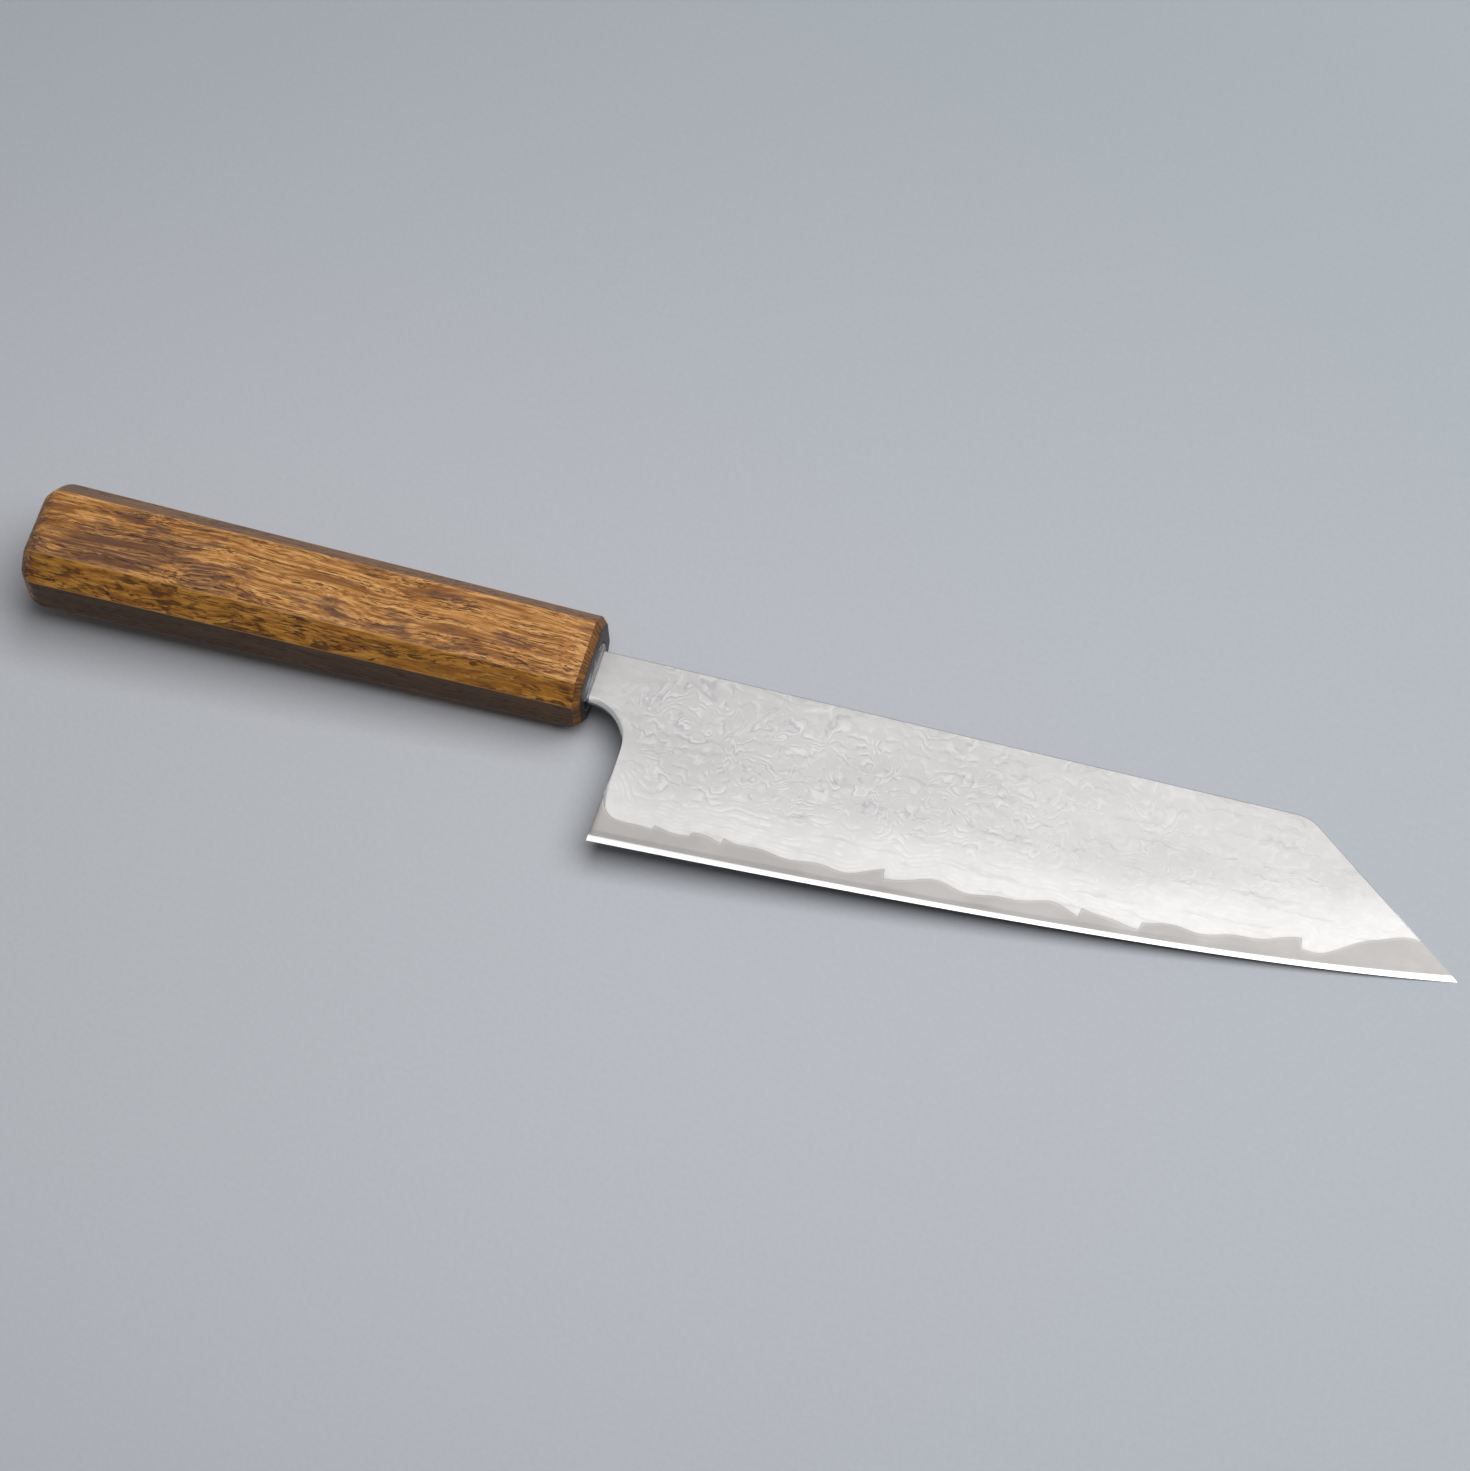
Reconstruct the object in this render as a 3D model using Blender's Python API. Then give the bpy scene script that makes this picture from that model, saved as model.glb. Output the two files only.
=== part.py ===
"""Bunka kitchen knife lying on a table: a three-layer blade with a clipped tip in an octagonal oak handle.

Sizes are in millimetres in the knife's own frame: x runs from the handle's mouth (x = 0) to the tip,
y runs towards the spine and z is across the blade, with z = 0 on its middle plane. An empty holds the whole
knife in its rest pose, on the handle's front lower edge and on the tip.
"""

import math

import bmesh
import bpy
from mathutils import Matrix, Vector

MM = 0.001

# Handle: an octagon that grows from the front face to the butt.
HANDLE_LENGTH = 128.7
FRONT_HEIGHT = 23.5
FRONT_THICKNESS = 17.6
BUTT_HEIGHT = 26.3
BUTT_THICKNESS = 20.6
FRONT_BEVEL_Y = 4.0
FRONT_BEVEL_Z = 4.5
BUTT_BEVEL_Y = 5.1
BUTT_BEVEL_Z = 5.2
FRONT_REACH = 0.4
FRONT_CHAMFER = 1.25
FRONT_CHAMFER_LENGTH = 1.45
FRONT_DOME = 0.35
BUTT_ROUNDING = 5.5
BUTT_DOME = 0.9
ARRIS_ROUNDING = 0.5
ROUNDING_STEPS = 5

# Blade outline.
HEEL_X = 10.3
HEEL_Y = -39.0
TIP_X = 193.9
SHOULDER_X = 156.2
SHOULDER_ROUNDING = 3.0
SPINE_Y = 5.4
SPINE_RISE = 0.55
EDGE_LIFT_STRAIGHT = 8.2
EDGE_LIFT_CURVED = 4.95
EDGE_LIFT_TIP = 2.6
NECK_HEIGHT = 12.7
NECK_STRAIGHT = 1.6
CHOIL_REACH = 9.5
CHOIL_DROP = 10.2

# Tang, inside the handle.
SHOULDER_DEPTH = 3.0
TANG_LENGTH = 88.0
TANG_ROOT_HEIGHT = 9.0
TANG_END_HEIGHT = 6.0

# Blade thickness: distal taper along the spine, wedge down to the edge.
NECK_THICKNESS = 2.0
SHOULDER_THICKNESS = 1.3
TANG_END_THICKNESS = 1.6
BEHIND_EDGE_HEEL = 0.44
BEHIND_EDGE_TIP = 0.3
BEVEL_WIDTH_MIDDLE = 1.07
BEVEL_WIDTH_ENDS = 1.45
GRIND_BULGE = 0.18
RICASSO_LENGTH = 9.0

# Layers: a hard core between two soft claddings.
CORE_AT_LINE = 0.46
CORE_AT_SPINE = 0.68
WELD_GAP = 0.03
LINE_STEP = 0.06
LINE_GAP = 0.03
LEAST_CLADDING = 0.05
RIM_WIDTH = 0.3
RIM_DROP = 0.22

# Cladding line: its height above the edge is a slow base, forging waves (size, wavelength, phase) and laps
# (place, size); a lap with a negative size builds up towards its place and falls back there.
LINE_BASE = 3.98
LINE_SLOPE = -0.011
LINE_TIP_RISE = 4.1
LINE_TIP_START = 163.9
LINE_TIP_LENGTH = 18.0
LINE_WAVES = ((0.39, 12.5, 3.33), (-0.49, 24.8, 2.71), (1.78, 81.1, 0.46), (0.57, 32.5, -1.0))
LINE_LAPS = ((23.2, 1.2), (31.3, 0.8), (38.2, 1.4), (73.1, -2.3), (114.9, 2.2), (127.8, 1.7), (160.9, -2.4))
LAP_LENGTH = 29.6
LAP_STEEPNESS = 0.35
HEEL_RETURN_X = 5.3
HEEL_RETURN_RISE = 6.3
HEEL_RETURN_START = 200.0
LINE_STEP_X = 1.5

# Resin bed round the tang.
BED_HEIGHT = 16.2
BED_THICKNESS = 9.5
BED_END_HEIGHT = 10.0
BED_END_THICKNESS = 5.0
BED_DEPTH = 92.0
BED_GAP = 0.05
BED_REACH = 1.05
BED_RIM = 0.5
MOUTH_GAP = 0.3
TANG_GAP = 0.12

EDGE_STATIONS = 62
ROW_STEP = 5.0
CUT_STEP = 6.0

OAK = ("burnt_oak", (0.34, 0.17, 0.06), 0.42, 0.0)
RESIN = ("resin_grey", (0.16, 0.16, 0.17), 0.22, 0.0)
CORE = ("core_steel", (0.66, 0.64, 0.61), 0.28, 1.0)
CLADDING = ("damascus_steel", (0.72, 0.72, 0.71), 0.34, 1.0)


def smooth(t):
    """Ease from 0 to 1 as t goes from 0 to 1."""
    t = min(max(t, 0.0), 1.0)
    return t * t * (3.0 - 2.0 * t)


def mix(a, b, t):
    """Value between a and b."""
    return a + (b - a) * t


# Outline of the blade


def edge_y(x):
    """Height of the cutting edge: nearly straight at the heel, sweeping up at the tip."""
    u = max(x - HEEL_X, 0.0) / (TIP_X - HEEL_X)
    return HEEL_Y + EDGE_LIFT_STRAIGHT * u + EDGE_LIFT_CURVED * u * u + EDGE_LIFT_TIP * u**6


def spine_y(x):
    """Height of the straight spine, which carries on unbroken over the clipped tip."""
    return SPINE_Y + SPINE_RISE * max(x, 0.0) / SHOULDER_X


def bevel_width(x):
    """Width of the sharpened bevel, measured up from the edge: it widens at the heel and at the tip."""
    from_middle = 2.0 * (x - HEEL_X) / (TIP_X - HEEL_X) - 1.0
    return mix(BEVEL_WIDTH_MIDDLE, BEVEL_WIDTH_ENDS, min(from_middle * from_middle, 1.0))


def clip_y(x):
    """Height of the straight line that clips the tip."""
    tip_y = edge_y(TIP_X)
    return mix(spine_y(SHOULDER_X), tip_y, (x - SHOULDER_X) / (TIP_X - SHOULDER_X))


def clip_x(height):
    """Place where a curve, given as its height at x, meets the clipping line."""
    low, high = SHOULDER_X, TIP_X
    for _ in range(40):
        middle = 0.5 * (low + high)
        if clip_y(middle) > height(middle):
            low = middle
        else:
            high = middle
    return 0.5 * (low + high)


def choil_centre():
    """Centre of the quarter ellipse that joins the neck to the heel."""
    return NECK_STRAIGHT, SPINE_Y - NECK_HEIGHT - CHOIL_DROP


def rear_x(y):
    """Rear edge of the heel below the choil."""
    centre_x, centre_y = choil_centre()
    return mix(centre_x + CHOIL_REACH, HEEL_X, (y - centre_y) / (HEEL_Y - centre_y))


def line_height(x):
    """Height of the cladding line above the cutting edge."""
    height = LINE_BASE + LINE_SLOPE * x
    height += LINE_TIP_RISE * smooth((x - LINE_TIP_START) / LINE_TIP_LENGTH)
    for size, length, phase in LINE_WAVES:
        height += size * math.sin(2.0 * math.pi * x / length + phase)
    for place, size in LINE_LAPS:
        past = (x - place) if size > 0.0 else (place - x)
        if past > 0.0:
            height += abs(size) * math.exp(-past / LAP_LENGTH)
    return max(height, bevel_width(x) + 0.7)


def line_y(x):
    """Height of the cladding line."""
    return edge_y(x) + line_height(x)


def line_points():
    """Cladding line from the rear edge round the heel and along the blade to the clipped tip."""
    start_x = HEEL_X + HEEL_RETURN_X
    low_y = line_y(start_x)
    high_y = low_y + HEEL_RETURN_RISE
    reach = start_x - rear_x(high_y)
    points = []
    for i in range(6):
        angle = math.radians(mix(HEEL_RETURN_START, 270.0, i / 6.0))
        points.append((start_x + reach * math.cos(angle), high_y + HEEL_RETURN_RISE * math.sin(angle)))
    end_x = clip_x(line_y)
    count = max(2, round((end_x - start_x) / LINE_STEP_X))
    places = [mix(start_x, end_x, i / count) for i in range(count + 1)]
    for lap, _ in LINE_LAPS:
        places = [x for x in places if abs(x - lap) > 0.6 or x in (start_x, end_x)]
    for lap, _ in LINE_LAPS:
        places += [lap - LAP_STEEPNESS / 2.0, lap + LAP_STEEPNESS / 2.0]
    places = [x for x in places if start_x <= x <= end_x]
    points += [(x, line_y(x)) for x in sorted(places)]
    return points


def moved_aside(points, distance):
    """The same open line moved to its left by a distance."""
    moved = []
    for i, point in enumerate(points):
        here = Vector(point)
        before = Vector(points[max(i - 1, 0)])
        after = Vector(points[min(i + 1, len(points) - 1)])
        normals = []
        for a, b in ((before, here), (here, after)):
            along = b - a
            if along.length > 0.0:
                normals.append(Vector((-along.y, along.x)).normalized())
        normal = sum(normals, Vector((0.0, 0.0))).normalized()
        moved.append(tuple(here + normal * distance / max(normal.dot(normals[0]), 0.5)))
    return moved


def crossing(a, b, c, d):
    """Point where the line through a and b meets the line through c and d."""
    a, b, c, d = Vector(a), Vector(b), Vector(c), Vector(d)
    share = (c - a).cross(d - c) / (b - a).cross(d - c)
    return tuple(a + (b - a) * share)


def to_outline(points):
    """The same line with its first point on the rear edge and its last point on the clipping line."""
    top = choil_centre()[1]
    first = crossing(points[0], points[1], (rear_x(HEEL_Y), HEEL_Y), (rear_x(top), top))
    last = crossing(points[-2], points[-1], (SHOULDER_X, clip_y(SHOULDER_X)), (TIP_X, clip_y(TIP_X)))
    return [first] + points[1:-1] + [last]


def bevel_points():
    """Upper limit of the sharpened bevel, from the rear edge to the clipped tip."""
    end_x = clip_x(lambda x: edge_y(x) + bevel_width(x))
    start_y = HEEL_Y + bevel_width(HEEL_X)
    start_x = rear_x(start_y)
    points = []
    for i in range(EDGE_STATIONS + 1):
        x = mix(start_x, end_x, i / EDGE_STATIONS)
        points.append((x, edge_y(x) + bevel_width(x)))
    points[0] = (start_x, start_y)
    return points


def edge_points():
    """Cutting edge from the heel to the tip."""
    points = []
    for i in range(EDGE_STATIONS + 1):
        x = mix(HEEL_X, TIP_X, i / EDGE_STATIONS)
        points.append((x, edge_y(x)))
    return points


def back_points():
    """Outline above the cladding line: clipped tip, spine, tang, neck, choil and the rear edge's top."""
    points = []
    turn = Vector((SHOULDER_X, spine_y(SHOULDER_X)))
    along_clip = (Vector((TIP_X, edge_y(TIP_X))) - turn).normalized()
    along_spine = Vector((-SHOULDER_X, SPINE_Y - spine_y(SHOULDER_X))).normalized()
    first = turn + along_clip * SHOULDER_ROUNDING
    last = turn + along_spine * SHOULDER_ROUNDING
    for i in range(5):
        t = i / 4.0
        points.append(tuple(first * (1.0 - t) ** 2 + turn * 2.0 * t * (1.0 - t) + last * t * t))
    neck_y = SPINE_Y - NECK_HEIGHT
    middle_y = 0.5 * (SPINE_Y + neck_y)
    points.append((0.0, SPINE_Y))
    points.append((-SHOULDER_DEPTH, SPINE_Y))
    points.append((-SHOULDER_DEPTH, middle_y + TANG_ROOT_HEIGHT / 2.0))
    points.append((-TANG_LENGTH, middle_y + TANG_END_HEIGHT / 2.0))
    points.append((-TANG_LENGTH, middle_y - TANG_END_HEIGHT / 2.0))
    points.append((-SHOULDER_DEPTH, middle_y - TANG_ROOT_HEIGHT / 2.0))
    points.append((-SHOULDER_DEPTH, neck_y))
    points.append((0.0, neck_y))
    centre_x, centre_y = choil_centre()
    for i in range(11):
        angle = math.radians(90.0 - 9.0 * i)
        points.append((centre_x + CHOIL_REACH * math.cos(angle), centre_y + CHOIL_DROP * math.sin(angle)))
    return points


# Thickness of the blade


def spine_thickness(x):
    """Thickness at the spine: the distal taper towards the tip and the thinner end of the tang."""
    if x < -SHOULDER_DEPTH:
        return mix(NECK_THICKNESS, TANG_END_THICKNESS, (-x - SHOULDER_DEPTH) / (TANG_LENGTH - SHOULDER_DEPTH))
    return mix(NECK_THICKNESS, SHOULDER_THICKNESS, max(x, 0.0) / SHOULDER_X)


def grind(x, y):
    """Share of the way from the bevel up to the spine, 1 on the unground neck."""
    low = edge_y(x) + bevel_width(max(x, HEEL_X))
    share = (y - low) / (spine_y(x) - low)
    share = min(max(share, 0.0), 1.0)
    share += GRIND_BULGE * share * (1.0 - share)
    return mix(1.0, share, smooth(x / RICASSO_LENGTH))


def face_z(x, y):
    """Half thickness of the finished blade."""
    half_edge = 0.5 * mix(BEHIND_EDGE_HEEL, BEHIND_EDGE_TIP, max(x - HEEL_X, 0.0) / (TIP_X - HEEL_X))
    over_edge = y - edge_y(x)
    if x > HEEL_X - 1.0 and over_edge < bevel_width(x):
        return half_edge * max(over_edge, 0.0) / bevel_width(x)
    return mix(half_edge, 0.5 * spine_thickness(x), grind(x, y))


def core_z(x, y):
    """Half thickness of the core where a cladding covers it."""
    core = 0.5 * mix(CORE_AT_LINE, CORE_AT_SPINE, grind(x, y))
    return min(core, face_z(x, y) - WELD_GAP - LEAST_CLADDING)


# Building blocks


def material(finish):
    """Plain material from a name, a colour, a roughness and a metallic value."""
    name, colour, roughness, metallic = finish
    made = bpy.data.materials.new(name)
    made.use_nodes = True
    shader = made.node_tree.nodes["Principled BSDF"]
    shader.inputs["Base Color"].default_value = (*colour, 1.0)
    shader.inputs["Roughness"].default_value = roughness
    shader.inputs["Metallic"].default_value = metallic
    made.diffuse_color = (*colour, 1.0)
    return made


def add_object(name, bm, collection, parent, finish):
    """Object made from a bmesh, in metres, held by the pose empty."""
    bmesh.ops.recalc_face_normals(bm, faces=bm.faces)
    bmesh.ops.scale(bm, vec=(MM, MM, MM), verts=bm.verts)
    mesh = bpy.data.meshes.new(name)
    bm.to_mesh(mesh)
    bm.free()
    made = bpy.data.objects.new(name, mesh)
    collection.objects.link(made)
    made.parent = parent
    if finish:
        mesh.materials.append(material(finish))
    return made


def add_cutter(name, bm, collection, parent):
    """Helper solid that never renders."""
    made = add_object(name, bm, collection, parent, None)
    made.hide_render = True
    made.display_type = "WIRE"
    return made


def cut(target, cutter):
    """Take the cutter's shape out of the target."""
    modifier = target.modifiers.new("cut", "BOOLEAN")
    modifier.operation = "DIFFERENCE"
    modifier.solver = "EXACT"
    modifier.object = cutter


def loft(sections):
    """Closed solid through rings of equal point counts, with flat ends."""
    bm = bmesh.new()
    rings = [[bm.verts.new(point) for point in section] for section in sections]
    for near, far in zip(rings, rings[1:]):
        count = len(near)
        for i in range(count):
            bm.faces.new((near[i], near[(i + 1) % count], far[(i + 1) % count], far[i]))
    bm.faces.new(rings[0])
    bm.faces.new(rings[-1])
    return bm


def flat_regions(regions):
    """Flat mesh of neighbouring regions, cut into small cells along and across the blade."""
    bm = bmesh.new()
    shared = {}
    for region in regions:
        corners = []
        for x, y in region:
            key = (round(x, 6), round(y, 6))
            if key not in shared:
                shared[key] = bm.verts.new((x, y, 0.0))
            if not corners or corners[-1] is not shared[key]:
                corners.append(shared[key])
        if corners[0] is corners[-1]:
            corners.pop()
        bm.faces.new(corners)
    return bm


def cut_cells(bm):
    """Cut the flat regions across at even places and along the rise of the edge."""
    places = []
    x = -TANG_LENGTH + CUT_STEP * 2.0
    while x < TIP_X - 2.0:
        places.append((Vector((x, 0.0, 0.0)), Vector((1.0, 0.0, 0.0))))
        x += CUT_STEP * (2.0 if x < -2.0 * CUT_STEP else 0.5 if x < RICASSO_LENGTH + CUT_STEP else 1.0)
    lean = (edge_y(TIP_X) - HEEL_Y) / (TIP_X - HEEL_X)
    y = HEEL_Y + 8.3
    while y < SPINE_Y - 1.0:
        places.append((Vector((HEEL_X, y, 0.0)), Vector((-lean * 0.5, 1.0, 0.0))))
        y += ROW_STEP
    for point, normal in places:
        geometry = bm.verts[:] + bm.edges[:] + bm.faces[:]
        bmesh.ops.bisect_plane(bm, geom=geometry, dist=1e-5, plane_co=point, plane_no=normal)
    bmesh.ops.triangulate(bm, faces=bm.faces, quad_method="BEAUTY", ngon_method="BEAUTY")


def thicken(bm, upper, lower):
    """Turn the flat mesh into a solid between two surfaces given as functions of a flat vertex."""
    bm.verts.ensure_lookup_table()
    bm.verts.index_update()
    high = [upper(v) for v in bm.verts]
    low = [lower(v) for v in bm.verts]
    flat = bm.verts[:]
    faces = bm.faces[:]
    rim = [edge for edge in bm.edges if len(edge.link_faces) == 1]
    copies = [bm.verts.new((v.co.x, v.co.y, low[i])) for i, v in enumerate(flat)]
    for face in faces:
        bm.faces.new([copies[v.index] for v in reversed(face.verts)])
    for edge in rim:
        a, b = edge.verts
        bm.faces.new((a, b, copies[b.index], copies[a.index]))
    for v, z in zip(flat, high):
        v.co.z = z
    bmesh.ops.remove_doubles(bm, verts=bm.verts, dist=1e-5)


# The pieces


def core_regions():
    """Flat regions of the core: bevel, bare band, step of the line and the part under the claddings."""
    edge = edge_points()
    bevel = bevel_points()
    line = to_outline(line_points())
    under = to_outline(moved_aside(line_points(), LINE_STEP))
    return [
        edge + bevel[::-1],
        bevel + line[::-1],
        line + under[::-1],
        under + back_points(),
    ]


def build_core(collection, parent):
    """Hard middle layer with the cutting edge and its share of the tang."""
    bm = flat_regions(core_regions())
    cut_cells(bm)
    line = to_outline(line_points())

    def surface(v):
        covered = above_line(v.co.x, v.co.y, line)
        return core_z(v.co.x, v.co.y) if covered else face_z(v.co.x, v.co.y)

    thicken(bm, surface, lambda v: -surface(v))
    return add_object("core_steel", bm, collection, parent, CORE)


def above_line(x, y, line):
    """Whether a point lies above the cladding line, and not on it."""
    if x <= HEEL_X + HEEL_RETURN_X:
        if y > line[0][1] + 1e-4:
            return True
        near = line[:9]
    else:
        place = min(range(len(line)), key=lambda i: abs(line[i][0] - x))
        near = line[max(place - 2, 0) : place + 3]
    found = None
    for a, b in zip(near, near[1:]):
        start = Vector(a)
        along = Vector(b) - start
        offset = Vector((x, y)) - start
        share = min(max(offset.dot(along) / along.length_squared, 0.0), 1.0)
        distance = (offset - along * share).length
        if found is None or distance < found[0]:
            found = (distance, along.cross(offset) / along.length)
    return found[1] > 0.3 * LINE_STEP


def build_cladding(name, side, collection, parent):
    """Soft patterned layer on one side, from the cladding line up to the spine and into the tang."""
    start = to_outline(moved_aside(line_points(), LINE_STEP + LINE_GAP))
    bm = flat_regions([start + back_points()])
    bmesh.ops.inset_region(bm, faces=bm.faces[:], thickness=RIM_WIDTH, use_even_offset=True, use_boundary=True)
    cut_cells(bm)
    outer = {v for edge in bm.edges if len(edge.link_faces) == 1 for v in edge.verts}

    def upper(v):
        inner_z = core_z(v.co.x, v.co.y) + WELD_GAP
        face = face_z(v.co.x, v.co.y)
        if v in outer:
            face -= min(RIM_DROP, 0.4 * (face - inner_z))
        return face

    thicken(bm, upper, lambda v: core_z(v.co.x, v.co.y) + WELD_GAP)
    if side < 0:
        bmesh.ops.transform(bm, matrix=Matrix.Diagonal((1.0, 1.0, -1.0, 1.0)), verts=bm.verts)
        bmesh.ops.reverse_faces(bm, faces=bm.faces)
    return add_object(name, bm, collection, parent, CLADDING)


def octagon(x, inset, shrink=1.0):
    """Rounded octagon of the handle at x, with every side moved in by the inset and then shrunk on its centre."""
    share = min(max(-x / HANDLE_LENGTH, 0.0), 1.0)
    half_y = 0.5 * mix(FRONT_HEIGHT, BUTT_HEIGHT, share)
    half_z = 0.5 * mix(FRONT_THICKNESS, BUTT_THICKNESS, share)
    leg_y = mix(FRONT_BEVEL_Y, BUTT_BEVEL_Y, share)
    leg_z = mix(FRONT_BEVEL_Z, BUTT_BEVEL_Z, share)
    slope = Vector((leg_z, leg_y)).normalized()
    reach = slope.dot(Vector((half_y - leg_y, half_z))) - inset
    flat_y = half_y - inset
    flat_z = half_z - inset
    near_side = Vector(((reach - slope.y * flat_z) / slope.x, flat_z))
    near_top = Vector((flat_y, (reach - slope.x * flat_y) / slope.y))
    quarter = [near_top, near_side]
    corners = []
    for sign_y, sign_z in ((1, 1), (-1, 1), (-1, -1), (1, -1)):
        turned = [Vector((p.x * sign_y, p.y * sign_z)) for p in quarter]
        corners += turned if sign_y * sign_z > 0 else turned[::-1]
    ring = []
    for i, corner in enumerate(corners):
        before = (corners[i - 1] - corner).normalized()
        after = (corners[(i + 1) % 8] - corner).normalized()
        trim = ARRIS_ROUNDING
        first = corner + before * trim
        last = corner + after * trim
        ring += [first, (first + last) * 0.25 + corner * 0.5, last]
    return [(x, p.x * shrink, p.y * shrink) for p in ring]


def build_handle(collection, cutters, parent):
    """Octagonal oak handle with a chamfered mouth, a rounded butt and a bore for the resin bed."""
    small = 0.2 * FRONT_CHAMFER
    chamfer_end = FRONT_REACH - FRONT_CHAMFER_LENGTH
    sections = [
        octagon(FRONT_REACH + FRONT_DOME, FRONT_CHAMFER, 0.2),
        octagon(FRONT_REACH + 0.8 * FRONT_DOME, FRONT_CHAMFER, 0.55),
        octagon(FRONT_REACH + 0.4 * FRONT_DOME, FRONT_CHAMFER, 0.85),
        octagon(FRONT_REACH, FRONT_CHAMFER),
        octagon(chamfer_end + small, small),
        octagon(chamfer_end - small, 0.0),
    ]
    round_start = HANDLE_LENGTH - BUTT_DOME - BUTT_ROUNDING
    for i in range(1, 4):
        sections.append(octagon(mix(chamfer_end, -round_start, i / 4.0), 0.0))
    for i in range(ROUNDING_STEPS + 1):
        angle = 0.5 * math.pi * i / ROUNDING_STEPS
        x = -round_start - BUTT_ROUNDING * math.sin(angle)
        sections.append(octagon(x, BUTT_ROUNDING * (1.0 - math.cos(angle))))
    for share in (0.2, 0.5, 0.8):
        x = -HANDLE_LENGTH + BUTT_DOME * (1.0 - share) ** 2
        sections.append(octagon(x, BUTT_ROUNDING, 1.0 - share))
    handle = add_object("handle_body", loft(sections), collection, parent, OAK)
    bore = loft(bed_sections(0.0, FRONT_REACH + 3.0 * FRONT_DOME, BED_DEPTH))
    cut(handle, add_cutter("bore_cutter", bore, cutters, parent))
    return handle


def slot_ring(x, height, thickness):
    """Slot with round ends at x, centred on the neck."""
    middle_y = SPINE_Y - 0.5 * NECK_HEIGHT
    radius = 0.5 * thickness
    ring = []
    for end, start in ((1, -90.0), (-1, 90.0)):
        for i in range(9):
            angle = math.radians(start + 180.0 * i / 8.0)
            y = middle_y + end * (0.5 * height - radius) + radius * math.cos(angle)
            ring.append((x, y, radius * math.sin(angle)))
    return ring


def bed_sections(gap, front, back):
    """Two rings of the tapered slot, from x = front to x = -back, smaller all round by the gap."""
    rings = []
    for x in (front, -back):
        share = max(-x, 0.0) / BED_DEPTH
        height = mix(BED_HEIGHT, BED_END_HEIGHT, share) - 2.0 * gap
        thickness = mix(BED_THICKNESS, BED_END_THICKNESS, share) - 2.0 * gap
        rings.append(slot_ring(x, height, thickness))
    return rings


def box_loft(stations):
    """Solid through rectangles given as (x, height, thickness), centred on the neck."""
    middle_y = SPINE_Y - 0.5 * NECK_HEIGHT
    sections = []
    for x, height, thickness in stations:
        y, z = 0.5 * height, 0.5 * thickness
        corners = ((y, z), (-y, z), (-y, -z), (y, -z))
        sections.append([(x, middle_y + a, b) for a, b in corners])
    return loft(sections)


def build_resin(collection, cutters, parent):
    """Resin bed that fills the bore round the tang and shows as a grey rim at the mouth."""
    rings = bed_sections(BED_GAP, BED_REACH - BED_RIM, BED_DEPTH - BED_GAP)
    narrower = 2.0 * (BED_GAP + BED_RIM)
    front = slot_ring(BED_REACH, BED_HEIGHT - narrower, BED_THICKNESS - narrower)
    resin = add_object("tang_resin", loft([front] + rings), collection, parent, RESIN)
    wide = 2.0 * MOUTH_GAP
    tight = 2.0 * TANG_GAP
    ledge = SHOULDER_DEPTH + MOUTH_GAP
    mouth = box_loft([
        (2.0 * BED_REACH, NECK_HEIGHT + wide, NECK_THICKNESS + wide),
        (-ledge, NECK_HEIGHT + wide, NECK_THICKNESS + wide),
    ])
    pocket = box_loft([
        (-ledge + 0.5, TANG_ROOT_HEIGHT + tight, NECK_THICKNESS + tight),
        (-TANG_LENGTH - MOUTH_GAP, TANG_END_HEIGHT + tight, TANG_END_THICKNESS + tight),
    ])
    cut(resin, add_cutter("mouth_cutter", mouth, cutters, parent))
    cut(resin, add_cutter("tang_cutter", pocket, cutters, parent))
    return resin


# Rest pose


def rest_angle(handle, blade):
    """Nose-down tilt at which the handle and the blade reach equally low, given their points."""
    low, high = 0.0, math.radians(10.0)
    for _ in range(40):
        angle = 0.5 * (low + high)
        drop, rise = math.sin(angle), math.cos(angle)
        handle_low = min(p.z * rise - p.x * drop for p in handle)
        blade_low = min(p.z * rise - p.x * drop for p in blade)
        if blade_low > handle_low:
            low = angle
        else:
            high = angle
    return 0.5 * (low + high)


def points_of(item):
    """Points of a finished piece in the knife's own frame."""
    bpy.context.view_layer.update()
    finished = item.evaluated_get(bpy.context.evaluated_depsgraph_get())
    points = [v.co.copy() for v in finished.to_mesh().vertices]
    finished.to_mesh_clear()
    return points


def rest_matrix(pieces):
    """Tilt, then move the box that holds the knife over the origin with its bottom on the table."""
    points = {piece.name: points_of(piece) for piece in pieces}
    tilt = Matrix.Rotation(rest_angle(points["handle_body"], points["core_steel"]), 4, "Y")
    turned = [tilt @ p for group in points.values() for p in group]
    low = [min(p[i] for p in turned) for i in range(3)]
    high = [max(p[i] for p in turned) for i in range(3)]
    move = Vector((-0.5 * (low[0] + high[0]), -0.5 * (low[1] + high[1]), -low[2]))
    return Matrix.Translation(move) @ tilt


def main():
    """Build the knife in its own collection, in its rest pose."""
    for item in list(bpy.data.objects):
        bpy.data.objects.remove(item, do_unlink=True)
    collection = bpy.data.collections.new("bunka_knife")
    cutters = bpy.data.collections.new("cutters")
    bpy.context.scene.collection.children.link(collection)
    bpy.context.scene.collection.children.link(cutters)
    cutters.hide_render = True
    pose = bpy.data.objects.new("rest_pose", None)
    collection.objects.link(pose)
    pieces = [
        build_core(collection, pose),
        build_cladding("cladding_left", 1, collection, pose),
        build_cladding("cladding_right", -1, collection, pose),
        build_handle(collection, cutters, pose),
        build_resin(collection, cutters, pose),
    ]
    for piece in pieces:
        piece.data.shade_smooth()
        piece.data.set_sharp_from_angle(angle=math.radians(20.0))
    pose.matrix_world = rest_matrix(pieces)


main()
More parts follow.
